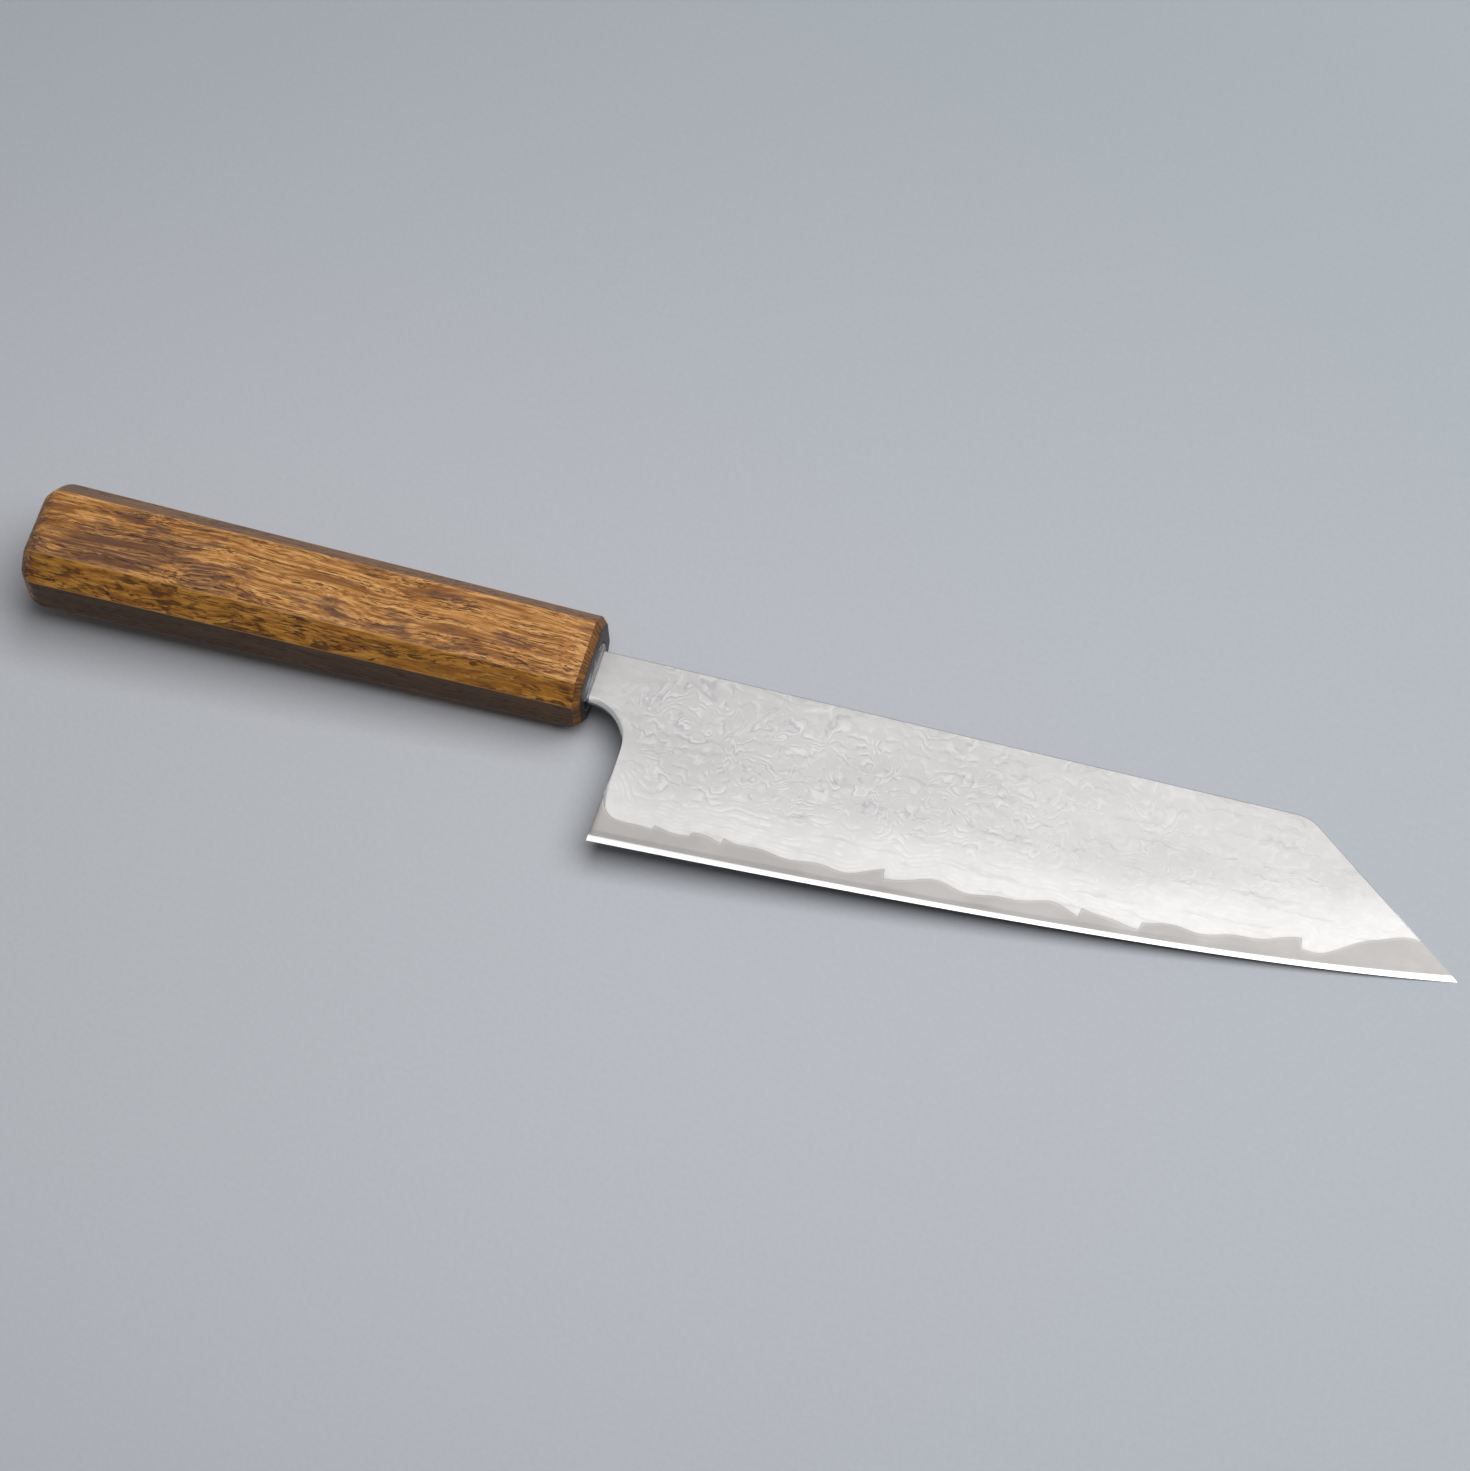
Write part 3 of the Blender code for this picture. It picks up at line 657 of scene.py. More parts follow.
@dataclass(frozen=True)
class CoreFinish:
    """Hard core steel: a hazy warm grey band, and a polished bevel along the edge."""

    band: Colour = (0.240, 0.228, 0.219)
    bevel: Colour = (0.52, 0.52, 0.522)
    band_roughness: float = 0.49
    bevel_roughness: float = 0.30
    bevel_stroke: Point = (5.0, 0.6, 1.0)
    relief: float = 0.00001

    def band_material(self, kit: ShaderKit) -> bpy.types.Material:
        """Make the material of the core's face.

        Args:
            kit: shared shader groups.

        Returns:
            The material.
        """
        made, graph, shader = new_material("core_steel_band")
        place = graph.carried(PLACE, "Vector")
        axes = graph.axes(place)
        marks, haze = graph.group(kit.satin_marks, Place=place)
        tone = graph.blend(graph.ease(haze, 0.35, 0.65), self.band, toned(self.band, 1.10))
        # Painted light: lighter within 0.7 mm of the layer line, lifting the shade under the cladding's step.
        # Darker where the stone has touched beside the bevel.
        touched = graph.ease(graph.linear(haze, 0.8, graph.carried(ABOVE)), 1.3, 1.9, 1.0, 0.0)
        touched = graph.times(touched, graph.ease(axes["X"], 90.0, 165.0, 0.16, 0.03))
        share = graph.maths("SUBTRACT", graph.ease(axes["Z"], 0.0, 0.7, 1.16, 1.0), touched)
        graph.fill(shader, {
            "Base Color": graph.scaled(tone, share),
            "Metallic": 1.0,
            "Roughness": graph.linear(marks, 0.10, self.band_roughness - 0.05),
            "Normal": graph.bump(marks, 0.25, self.relief),
        })
        return made

    def bevel_material(self, kit: ShaderKit) -> bpy.types.Material:
        """Make the material of the sharpened bevel.

        Args:
            kit: shared shader groups.

        Returns:
            The material.
        """
        made, graph, shader = new_material("honed_bevel")
        place = graph.carried(PLACE, "Vector")
        marks = graph.group(kit.satin_marks, Place=place, Stroke=self.bevel_stroke)["Marks"]
        tone = graph.blend(marks, self.bevel, toned(self.bevel, 0.94))
        # The stone's polish fades out where the bevel meets the core's face.
        faded = graph.ease(graph.carried(ABOVE), -0.38, -0.08, 0.0, 0.8)
        graph.fill(shader, {
            "Base Color": graph.blend(faded, tone, self.band),
            "Metallic": 1.0,
            "Roughness": graph.linear(marks, 0.10, self.bevel_roughness - 0.05),
        })
        return made


@dataclass(frozen=True)
class ResinFinish:
    """Cured grey resin with a glossy skin, faint pale clouds that carry a painted reflection, and painted
    shade round the neck.
    """

    colour: Colour = (0.070, 0.072, 0.080)
    pale: Colour = (0.25, 0.255, 0.285)
    shade: Colour = (0.012, 0.012, 0.016)
    cloud_run: Point = (1.0, 0.35, 1.4)
    roughness: float = 0.16
    relief: float = 0.0002

    def material(self, kit: ShaderKit) -> bpy.types.Material:
        """Make the resin's material.

        Args:
            kit: shared shader groups.

        Returns:
            The material.
        """
        made, graph, shader = new_material("grey_resin")
        place = graph.group(kit.own_place)["Place"]
        cloud_and_painted_light = graph.noise(place, 1.1, 2.0, 0.5, self.cloud_run)
        # The pale clouds are partly the resin's own clouding and partly a painted reflection of the bright
        # blade, with a bluish painted glint.
        tone = graph.blend(graph.ease(cloud_and_painted_light, 0.38, 0.62), self.colour, self.pale)
        # An uneven dark line round the neck is painted shade of the gap between the resin and the blade.
        uneven = graph.times(graph.noise(place, 0.55, 2.0), 1.8)
        off = graph.maths("SUBTRACT", graph.maths("ABSOLUTE", graph.axes(place)["Z"]), uneven)
        graph.fill(shader, {
            "Base Color": graph.blend(graph.ease(off, 0.95, 1.25, 1.0, 0.0), tone, self.shade),
            "Roughness": graph.linear(cloud_and_painted_light, 0.2, self.roughness - 0.08),
            "Normal": graph.bump(graph.noise(place, 0.8, 1.0), 0.6, self.relief),
        })
        return made


def edges_within(bm: bmesh.types.BMesh, verts: Sequence[bmesh.types.BMVert]) -> list[bmesh.types.BMEdge]:
    """Edges of a mesh with both ends among some vertices."""
    chosen = set(verts)
    return [e for e in bm.edges if e.verts[0] in chosen and e.verts[1] in chosen]


def lofted(sections: Sequence[Sequence[Vector]]) -> tuple[bmesh.types.BMesh, list[list[bmesh.types.BMVert]]]:
    """Extrude a ring from section to section and close both ends.

    Args:
        sections: rings of equal point counts.

    Returns:
        The mesh, and its vertices ring by ring.
    """
    bm = bmesh.new()
    bm.verts.layers.float.new(ARRIS)
    ring = bmesh.ops.create_circle(bm, cap_ends=True, segments=len(sections[0]), radius=1.0)["verts"]
    rings = [ring]
    for _ in sections[1:]:
        grown = bmesh.ops.extrude_edge_only(bm, edges=edges_within(bm, ring))["geom"]
        fresh = {v for v in grown if isinstance(v, bmesh.types.BMVert)}
        ring = [next(e.other_vert(v) for e in v.link_edges if e.other_vert(v) in fresh) for v in ring]
        rings.append(ring)
    for ring, section in zip(rings, sections):
        for vertex, point in zip(ring, section):
            vertex.co = point
    bmesh.ops.contextual_create(bm, geom=edges_within(bm, rings[-1]))
    return bm, rings


def mark_creases(bm: bmesh.types.BMesh, degrees: float) -> None:
    """Shade a mesh smoothly but for its creases: sharp turns and the borders between two finishes.

    Args:
        bm: the mesh.
        degrees: turn above which an edge is a crease.
    """
    for face in bm.faces:
        face.smooth = True
    limit = math.radians(degrees)
    for edge in bm.edges:
        turned = len(edge.link_faces) == 2 and edge.calc_face_angle(0.0) > limit
        edge.smooth = not turned and len({face.material_index for face in edge.link_faces}) < 2


def finished(
    name: str, bm: bmesh.types.BMesh, materials: Sequence[bpy.types.Material], node: str
) -> bpy.types.Object:
    """Lay a mesh in the rest pose as a piece that stands for a CAD node.

    Args:
        name: the piece's name.
        bm: its mesh in the knife's own frame, which is freed.
        materials: its materials, in slot order.
        node: the CAD node, which the piece hides.

    Returns:
        The piece.
    """
    bmesh.ops.transform(bm, matrix=POSE.matrix(), verts=bm.verts)
    mesh = bpy.data.meshes.new(name)
    bm.to_mesh(mesh)
    bm.free()
    for material in materials:
        mesh.materials.append(material)
    piece = bpy.data.objects.new(name, mesh)
    bpy.context.scene.collection.objects.link(piece)
    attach(piece, "root")
    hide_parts(node)
    return piece


@dataclass(frozen=True)
class BladeProfile:
    """Outline, grind and layer line of the blade.

    Each wave of the line has a size, a length and a phase. Each lap has a place and a size, and fades towards
    the tip, or towards the heel where its size is negative.
    """

    HALVINGS = 40

    heel_x: float = 10.3
    heel_y: float = -39.0
    tip_x: float = 193.9
    shoulder_x: float = 156.2
    shoulder_rounding: float = 3.0
    spine: float = 5.4
    spine_rise: float = 0.55
    edge_lift: Point = (8.2, 4.95, 2.6)
    neck_height: float = 12.7
    neck_straight: float = 1.6
    choil_reach: float = 9.5
    choil_drop: float = 10.2
    tang_shoulder: float = 3.0
    tang_length: float = 88.0
    tang_root: float = 9.0
    tang_end: float = 6.0
    neck_thickness: float = 2.0
    shoulder_thickness: float = 1.3
    tang_thickness: float = 1.6
    behind_heel: float = 0.44
    behind_tip: float = 0.3
    bevel_middle: float = 1.07
    bevel_ends: float = 1.45
    grind_bulge: float = 0.18
    ricasso: float = 9.0
    core_at_line: float = 0.46
    core_at_spine: float = 0.68
    weld_gap: float = 0.03
    least_cladding: float = 0.05
    line_base: float = 3.98
    line_slope: float = -0.011
    line_tip: Point = (4.1, 163.9, 18.0)
    line_waves: tuple = ((0.39, 12.5, 3.33), (-0.49, 24.8, 2.71), (1.78, 81.1, 0.46), (0.57, 32.5, -1.0))
    line_laps: tuple = (
        (23.2, 1.2), (31.3, 0.8), (38.2, 1.4), (73.1, -2.3), (114.9, 2.2), (127.8, 1.7), (160.9, -2.4)
    )
    lap_length: float = 29.6
    lap_steepness: float = 0.35
    lap_room: float = 0.3
    line_clearance: float = 0.7
    heel_return_x: float = 5.3
    heel_return_rise: float = 6.3
    heel_return_start: float = 200.0
    heel_return_steps: int = 16
    line_step: float = 0.6

    def along(self, x: float) -> float:
        """Share of the way from the heel to the tip."""
        return max(x - self.heel_x, 0.0) / (self.tip_x - self.heel_x)

    def edge_y(self, x: float) -> float:
        """Height of the cutting edge."""
        u, (straight, curved, tip) = self.along(x), self.edge_lift
        return self.heel_y + straight * u + curved * u * u + tip * u**6

    def spine_y(self, x: float) -> float:
        """Height of the spine."""
        return self.spine + self.spine_rise * max(x, 0.0) / self.shoulder_x

    def spine_point(self, x: float) -> Vector:
        """Point on the spine."""
        return Vector((x, self.spine_y(x)))

    def bevel_width(self, x: float) -> float:
        """Width of the sharpened bevel, measured up from the edge."""
        u = 2.0 * (x - self.heel_x) / (self.tip_x - self.heel_x) - 1.0
        return mix(self.bevel_middle, self.bevel_ends, min(u * u, 1.0))

    def bevel_top(self, x: float) -> float:
        """Height of the bevel's upper limit."""
        return self.edge_y(x) + self.bevel_width(x)

    def clip_y(self, x: float) -> float:
        """Height of the straight line that clips the tip."""
        share = (x - self.shoulder_x) / (self.tip_x - self.shoulder_x)
        return mix(self.spine_y(self.shoulder_x), self.edge_y(self.tip_x), share)

    def clip_x(self, height: Callable[[float], float]) -> float:
        """Find where a curve meets the clipping line, by halving.

        Args:
            height: the curve's height at x.

        Returns:
            The place.
        """
        low, high = self.shoulder_x, self.tip_x
        for _ in range(self.HALVINGS):
            middle = 0.5 * (low + high)
            low, high = (middle, high) if self.clip_y(middle) > height(middle) else (low, middle)
        return 0.5 * (low + high)

    def choil_centre(self) -> Vector:
        """Centre of the quarter ellipse between the neck and the heel."""
        return Vector((self.neck_straight, self.spine - self.neck_height - self.choil_drop))

    def rear_point(self, y: float) -> Vector:
        """Find a point on the rear edge of the heel below the choil.

        Args:
            y: its height.

        Returns:
            The point.
        """
        centre = self.choil_centre()
        share = (y - centre.y) / (self.heel_y - centre.y)
        return Vector((mix(centre.x + self.choil_reach, self.heel_x, share), y))

    def line_y(self, x: float) -> float:
        """Find the height of the layer line, where the cladding gives way to the core.

        Args:
            x: place along the blade.

        Returns:
            The height, which always leaves some of the core bare above the bevel.
        """
        rise, start, length = self.line_tip
        height = self.line_base + self.line_slope * x + rise * smooth((x - start) / length)
        for size, wave, phase in self.line_waves:
            height += size * math.sin(2.0 * math.pi * x / wave + phase)
        for place, size in self.line_laps:
            past = (x - place) if size > 0.0 else (place - x)
            if past > 0.0:
                height += abs(size) * math.exp(-past / self.lap_length)
        return self.edge_y(x) + max(height, self.bevel_width(x) + self.line_clearance)

    def line_points(self, aside: float) -> list[Vector]:
        """Follow the layer line from the rear edge round the heel to the clipped tip.

        Args:
            aside: how far the line is moved towards the spine.

        Returns:
            Points whose first lies on the rear edge and whose last lies on the clipping line.
        """
        rise = self.heel_return_rise
        start_x = self.heel_x + self.heel_return_x
        high_y = self.line_y(start_x) + rise
        reach = start_x - self.rear_point(high_y).x
        points = []
        for t in steps(0, self.heel_return_steps)[:-1]:
            angle = math.radians(mix(self.heel_return_start, 270.0, t))
            points.append(Vector((start_x + reach * math.cos(angle), high_y + rise * math.sin(angle))))
        end_x = self.clip_x(self.line_y)
        places = [mix(start_x, end_x, t) for t in steps(0, round((end_x - start_x) / self.line_step))]
        for lap, _ in self.line_laps:
            places = [x for x in places if abs(x - lap) > self.lap_room]
            places += [lap - self.lap_steepness / 2.0, lap + self.lap_steepness / 2.0]
        points += [Vector((x, self.line_y(x))) for x in sorted(places)]
        moved = moved_aside(points, aside)
        heel, tip = (Vector((x, self.edge_y(x))) for x in (self.heel_x, self.tip_x))
        moved[0] = crossing(moved[0], moved[1], heel, self.rear_point(self.choil_centre().y))
        moved[-1] = crossing(moved[-2], moved[-1], self.spine_point(self.shoulder_x), tip)
        return moved

    def spine_thickness(self, x: float) -> float:
        """Find the thickness at the spine, which tapers towards the tip and along the tang.

        Args:
            x: place along the blade or the tang.

        Returns:
            The thickness.
        """
        if x < -self.tang_shoulder:
            share = (-x - self.tang_shoulder) / (self.tang_length - self.tang_shoulder)
            return mix(self.neck_thickness, self.tang_thickness, share)
        return mix(self.neck_thickness, self.shoulder_thickness, max(x, 0.0) / self.shoulder_x)

    def grind(self, x: float, y: float) -> float:
        """Find how far up the grind a point lies.

        Args:
            x: place along the blade.
            y: height.

        Returns:
            Share of the way from the bevel up to the spine, 1 on the unground neck.
        """
        low = self.edge_y(x) + self.bevel_width(max(x, self.heel_x))
        share = min(max((y - low) / (self.spine_y(x) - low), 0.0), 1.0)
        share += self.grind_bulge * share * (1.0 - share)
        return mix(1.0, share, smooth(x / self.ricasso))

    def face_z(self, x: float, y: float) -> float:
        """Half thickness of the blade above the bevel."""
        half_edge = 0.5 * mix(self.behind_heel, self.behind_tip, self.along(x))
        return mix(half_edge, 0.5 * self.spine_thickness(x), self.grind(x, y))

    def core_z(self, x: float, y: float) -> float:
        """Half thickness of the core where a cladding covers it."""
        core = 0.5 * mix(self.core_at_line, self.core_at_spine, self.grind(x, y))
        return min(core, self.face_z(x, y) - self.weld_gap - self.least_cladding)

    def back_point(self, share: float, start_x: float, end: Vector) -> Vector:
        """Go along the spine, round the shoulder and down the clipped tip.

        Args:
            share: share of the way, from 0 to 1.
            start_x: place on the spine where the way starts.
            end: point on the clipping line where it ends.

        Returns:
            The point.
        """
        turn, start = self.spine_point(self.shoulder_x), self.spine_point(start_x)
        first = turn + (start - turn).normalized() * self.shoulder_rounding
        last = turn + (end - turn).normalized() * self.shoulder_rounding
        straight, curve, clip = (first - start).length, 2.0 * self.shoulder_rounding, (end - last).length
        way = share * (straight + curve + clip)
        if way <= straight:
            return start.lerp(first, way / straight)
        way -= straight
        if way < curve:
            t = way / curve
            return first.lerp(turn, t).lerp(turn.lerp(last, t), t)
        return last.lerp(end, min((way - curve) / clip, 1.0))


def moved_aside(points: Sequence[Vector], distance: float) -> list[Vector]:
    """Move an open line to its left.

    Args:
        points: its points.
        distance: how far it moves.

    Returns:
        The points of the moved line.
    """
    moved = []
    for i, here in enumerate(points):
        before, after = points[max(i - 1, 0)], points[min(i + 1, len(points) - 1)]
        normals = [
            Vector((a.y - b.y, b.x - a.x)).normalized() for a, b in ((before, here), (here, after)) if a != b
        ]
        normal = sum(normals, Vector((0.0, 0.0))).normalized()
        moved.append(here + normal * distance / max(normal.dot(normals[0]), MITRE_LIMIT))
    return moved


def crossing(a: Vector, b: Vector, c: Vector, d: Vector) -> Vector:
    """Point where the line through a and b meets the line through c and d."""
    share = (c - a).cross(d - c) / (b - a).cross(d - c)
    return a + (b - a) * share


class SheetMaker:
    """Builds flat sheets of the blade between two outlines, then gives them their thickness."""

    RIM_STEPS = (0.0, 0.12, 0.3, 0.6, 1.0, 1.4)
    LEAST_LEAN = 0.35
    MOST_ROUNDED = 0.8
    MERGE = 1e-4
    SLIVER = 1e-5
    TINY = 1e-6

    def __init__(self, profile: BladeProfile) -> None:
        """Start an empty mesh.

        Args:
            profile: the blade's profile.
        """
        self.profile = profile
        self.bm = bmesh.new()
        self.drop = self.bm.verts.layers.float.new(ROUNDED)
        self.half = self.bm.verts.layers.float.new("half")

    def sheet(
        self, stations: Sequence[Station], rows: int, half: Callable[[Vector, float], float], slot: int = 0
    ) -> None:
        """Add a grid that spans the stations.

        Args:
            stations: cross cuts in order.
            rows: number of rows between the two roundings.
            half: half thickness at a point, given the point and the share of the way up its station.
            slot: material slot of the new faces.
        """
        columns = len(stations) - 1
        levels = rows + 2 * (len(self.RIM_STEPS) - 1)
        before = set(self.bm.faces)
        fresh = bmesh.ops.create_grid(self.bm, x_segments=columns, y_segments=levels, size=1.0)["verts"]
        for vertex in fresh:
            i, j = round((vertex.co.x + 1.0) / 2.0 * columns), round((vertex.co.y + 1.0) / 2.0 * levels)
            point, drop, share = self._place(stations, i, j, rows)
            vertex.co = (point.x, point.y, 0.0)
            vertex[self.drop] = drop
            vertex[self.half] = half(point, share)
        for face in self.bm.faces:
            if face not in before:
                face.material_index = slot

    def _place(self, stations: Sequence[Station], i: int, j: int, rows: int) -> tuple[Vector, float, float]:
        """Place one point of a grid.

        Args:
            stations: cross cuts in order.
            i: number of the station.
            j: number of the row.
            rows: number of rows between the two roundings.

        Returns:
            The point, how deep the rounding falls there and the share of the way up the station.
        """
        station = stations[i]
        before, after = stations[max(i - 1, 0)], stations[min(i + 1, len(stations) - 1)]
        way = station.high - station.low
        length = max(way.length, self.TINY)
        ends = ((station.low_rim, after.low - before.low), (station.high_rim, after.high - before.high))
        reaches = []
        for rim, tangent in ends:
            lean = abs(way.cross(tangent)) / (length * max(tangent.length, self.TINY))
            reaches.append(rim.width / max(lean, self.LEAST_LEAN))
        last, top = len(self.RIM_STEPS) - 1, self.RIM_STEPS[-1]
        shrink = min(1.0, self.MOST_ROUNDED * length / max(top * sum(reaches), self.TINY))
        low, high = (reach * shrink / length for reach in reaches)
        if j <= last:
            share, rim, step = low * self.RIM_STEPS[j], station.low_rim, self.RIM_STEPS[j]
        elif j >= rows + last:
            step = self.RIM_STEPS[rows + 2 * last - j]
            share, rim = 1.0 - high * step, station.high_rim
        else:
            share, rim, step = mix(low * top, 1.0 - high * top, (j - last) / rows), Rim(0.0, 0.0), 1.0
        drop = rim.drop * (1.0 - math.sqrt(1.0 - max(1.0 - step, 0.0) ** 2))
        return station.low + way * share, drop, share

    def thicken(self, upper: Callable, lower: Callable) -> None:
        """Extrude the flat sheets and place both skins.

        Args:
            upper: height of a vertex of the upper skin.
            lower: height of a vertex of the lower skin.
        """
        bm = self.bm
        bmesh.ops.remove_doubles(bm, verts=bm.verts, dist=self.MERGE)
        bmesh.ops.dissolve_degenerate(bm, edges=bm.edges, dist=self.SLIVER)
        grown = bmesh.ops.extrude_face_region(bm, geom=bm.faces[:], use_keep_orig=True)["geom"]
        raised = {v for v in grown if isinstance(v, bmesh.types.BMVert)}
        for vertex in bm.verts:
            vertex.co.z = (upper if vertex in raised else lower)(vertex)
        bmesh.ops.remove_doubles(bm, verts=bm.verts, dist=self.SLIVER)
        bmesh.ops.recalc_face_normals(bm, faces=bm.faces)

    def note_place(self, line: Sequence[Vector]) -> None:
        """Keep each vertex's place, its distance from the layer line and its height above the bevel.

        Args:
            line: points of the layer line.
        """
        tree = KDTree(len(line))
        for i, point in enumerate(line):
            tree.insert((point.x, point.y, 0.0), i)
        tree.balance()
        layer = self.bm.verts.layers.float_vector.new(PLACE)
        above = self.bm.verts.layers.float.new(ABOVE)
        for vertex in self.bm.verts:
            x, y, _ = vertex.co
            _, nearest, distance = tree.find((x, y, 0.0))
            flat = Vector((x, y))
            for a, b in zip(line[max(nearest - 1, 0) : nearest + 1], line[max(nearest, 1) : nearest + 2]):
                foot, share = intersect_point_line(flat, a, b)
                if 0.0 <= share <= 1.0:
                    distance = min(distance, (foot.xy - flat).length)
            vertex[layer] = (x, y, distance)
            vertex[above] = y - self.profile.bevel_top(x)


@dataclass(frozen=True)
class Blade:
    """Three-layer blade with its tang: a hard core between two damascus claddings."""

    profile: BladeProfile = BladeProfile()
    damascus: DamascusFinish = DamascusFinish()
    core: CoreFinish = CoreFinish()
    line_wall: float = 0.03
    line_gap: float = 0.01
    cladding_crease: float = 40.0
    core_crease: float = 25.0
    face_rows: int = 12
    band_rows: int = 3
    tang_steps: int = 8
    neck_steps: int = 6
    choil_steps: int = 30
    rear_steps: int = 16
    shoulder_blend: float = 0.4
    over_neck: float = 3.0
    over_choil: float = 13.0
    over_rear: float = 17.0
    line_lead: float = 3.5
    lead_fade: float = 14.0
    heel_spread: float = 7.0
    tip_spread: float = 20.0
    rim_fade: float = 6.0
    upright_to: float = 131.0
    sharp: Rim = Rim(0.05, 0.0)
    band_rim: Rim = Rim(0.02, 0.0)
    line_rim: Rim = Rim(0.06, 0.012)
    spine_rim: Rim = Rim(0.26, 0.24)
    clip_rim: Rim = Rim(0.20, 0.14)
    neck_rim: Rim = Rim(1.50, 0.55)
    choil_rim: Rim = Rim(0.45, 0.40)
    rear_rim: Rim = Rim(1.10, 0.17)
    tang_rim: Rim = Rim(0.15, 0.10)

    def outer_stations(self, line: Sequence[Vector], rounded: bool) -> list[Station]:
        """Cut all that lies above a line across: tang, neck, choil and the blade's face.

        Args:
            line: the layer line, or one beside it.
            rounded: whether the outline is rounded.

        Returns:
            Stations from the tang's end to the clipped tip.
        """
        p = self.profile
        middle, neck_y = p.spine - 0.5 * p.neck_height, p.spine - p.neck_height
        shoulder, centre = self.shoulder_blend - p.tang_shoulder, p.choil_centre()
        cuts: list[tuple[Vector, Vector, Rim, Rim]] = []
        for t in steps(0, self.tang_steps):
            x, reach = mix(-p.tang_length, -p.tang_shoulder, t), 0.5 * mix(p.tang_end, p.tang_root, t)
            cuts.append((Vector((x, middle - reach)), Vector((x, middle + reach)), *(self.tang_rim,) * 2))
        for t in steps(0, self.neck_steps):
            low, high = Vector((mix(shoulder, p.neck_straight, t), neck_y)), mix(shoulder, self.over_neck, t)
            cuts.append((low, p.spine_point(high), self.neck_rim, self.spine_rim))
        for t in steps(1, self.choil_steps):
            angle = math.radians(90.0 - 90.0 * t)
            low = centre + Vector((p.choil_reach * math.cos(angle), p.choil_drop * math.sin(angle)))
            rim = blend_rim(self.neck_rim, self.choil_rim, smooth(t))
            high = p.spine_point(mix(self.over_neck, self.over_choil, t))
            cuts.append((low, high, rim, self.spine_rim))
        for t in steps(1, self.rear_steps):
            low = p.rear_point(mix(centre.y, line[0].y, t))
            rim = blend_rim(self.choil_rim, self.rear_rim, t)
            high = p.spine_point(mix(self.over_choil, self.over_rear, t))
            cuts.append((low, high, rim, self.spine_rim))
        cuts += self._face_cuts(line)
        if not rounded:
            cuts = [(low, high, self.sharp, self.sharp) for low, high, _, _ in cuts]
        return [Station(*cut) for cut in cuts]

    def _face_cuts(self, line: Sequence[Vector]) -> list[tuple[Vector, Vector, Rim, Rim]]:
        """Cut the blade's face from the layer line up to the spine and the clip.

        Args:
            line: the layer line, or one beside it.

        Returns:
            Both ends and both roundings of each cut.
        """
        p, turn = self.profile, self.profile.heel_return_steps
        leave = next(i for i, point in enumerate(line) if point.x > self.upright_to)
        lengths = [0.0]
        for a, b in zip(line, line[1:]):
            lengths.append(lengths[-1] + (b - a).length)
        cuts = []
        for i in range(1, len(line)):
            if i < turn:
                x = mix(self.over_rear, line[turn].x + self.line_lead, i / turn)
            else:
                past = (line[i].x - line[turn].x) / self.lead_fade
                x = line[i].x + self.line_lead * (1.0 - smooth(past))
            if i < leave:
                high = p.spine_point(x)
            else:
                share = (lengths[i] - lengths[leave]) / (lengths[-1] - lengths[leave])
                high = p.back_point(share, line[leave].x, line[-1])
            low_rim = blend_rim(self.rear_rim, self.line_rim, smooth(i / self.rim_fade))
            cuts.append((line[i], high, low_rim, self.spine_rim if high.x < p.shoulder_x else self.clip_rim))
        return cuts

    def build_cladding(self, side: Side, kit: ShaderKit) -> bpy.types.Object:
        """Build the soft patterned layer on one side.

        Args:
            side: which side of the core it lies on.
            kit: shared shader groups.

        Returns:
            The finished piece.
        """
        p = self.profile
        line = p.line_points(self.line_wall + self.line_gap)
        maker = SheetMaker(p)
        stations = self.outer_stations(line, True)
        maker.sheet(stations, self.face_rows, lambda point, _: p.face_z(point.x, point.y))
        drop, half = maker.drop, maker.half

        def inner(v: bmesh.types.BMVert) -> float:
            """Height of the weld face."""
            return p.core_z(v.co.x, v.co.y) + p.weld_gap

        def outer(v: bmesh.types.BMVert) -> float:
            """Height of the rounded outer face."""
            return v[half] - min(v[drop], maker.MOST_ROUNDED * (v[half] - inner(v)))

        maker.thicken(outer, inner)
        maker.note_place(line)
        if side is Side.RIGHT:
            bmesh.ops.scale(maker.bm, vec=(1.0, 1.0, -1.0), verts=maker.bm.verts)
            bmesh.ops.recalc_face_normals(maker.bm, faces=maker.bm.faces)
        mark_creases(maker.bm, self.cladding_crease)
        node = f"cladding_{side.name.lower()}"
        return finished(f"damascus_{node}", maker.bm, [self.damascus.material(kit, side)], node)

    def build_core(self, kit: ShaderKit) -> bpy.types.Object:
        """Build the hard middle layer: bevel, bare band, step at the layer line and part under the claddings.

        Args:
            kit: shared shader groups.

        Returns:
            The finished piece.
        """
        p, turn = self.profile, self.profile.heel_return_steps
        line, under = p.line_points(0.0), p.line_points(self.line_wall)
        heel_top = p.rear_point(p.heel_y + p.bevel_width(p.heel_x))
        clip_x = p.clip_x(p.bevel_top)
        still = self.band_rim
        lower = [p.rear_point(mix(line[0].y, heel_top.y, i / turn)) for i in range(turn)] + [heel_top]
        for i in range(turn + 1, len(line)):
            x = self._upright(line, i, heel_top.x, clip_x)
            lower.append(Vector((x, p.bevel_top(x))))
        band = []
        for i, (low, high) in enumerate(zip(lower, line)):
            fade = smooth((turn + self.rim_fade - i) / self.rim_fade)
            band.append(Station(low, high, blend_rim(still, self.rear_rim, fade), still))
        bevel = []
        for i in range(turn, len(line)):
            x = self._upright(line, i, p.heel_x, p.tip_x)
            bevel.append(Station(Vector((x, p.edge_y(x))), lower[i], still, still))
        wall = [Station(low, high, still, still) for low, high in zip(line, under)]

        def over_bevel(point: Vector, share: float) -> float:
            """Half thickness on the bevel."""
            return share * p.face_z(point.x, p.bevel_top(point.x))

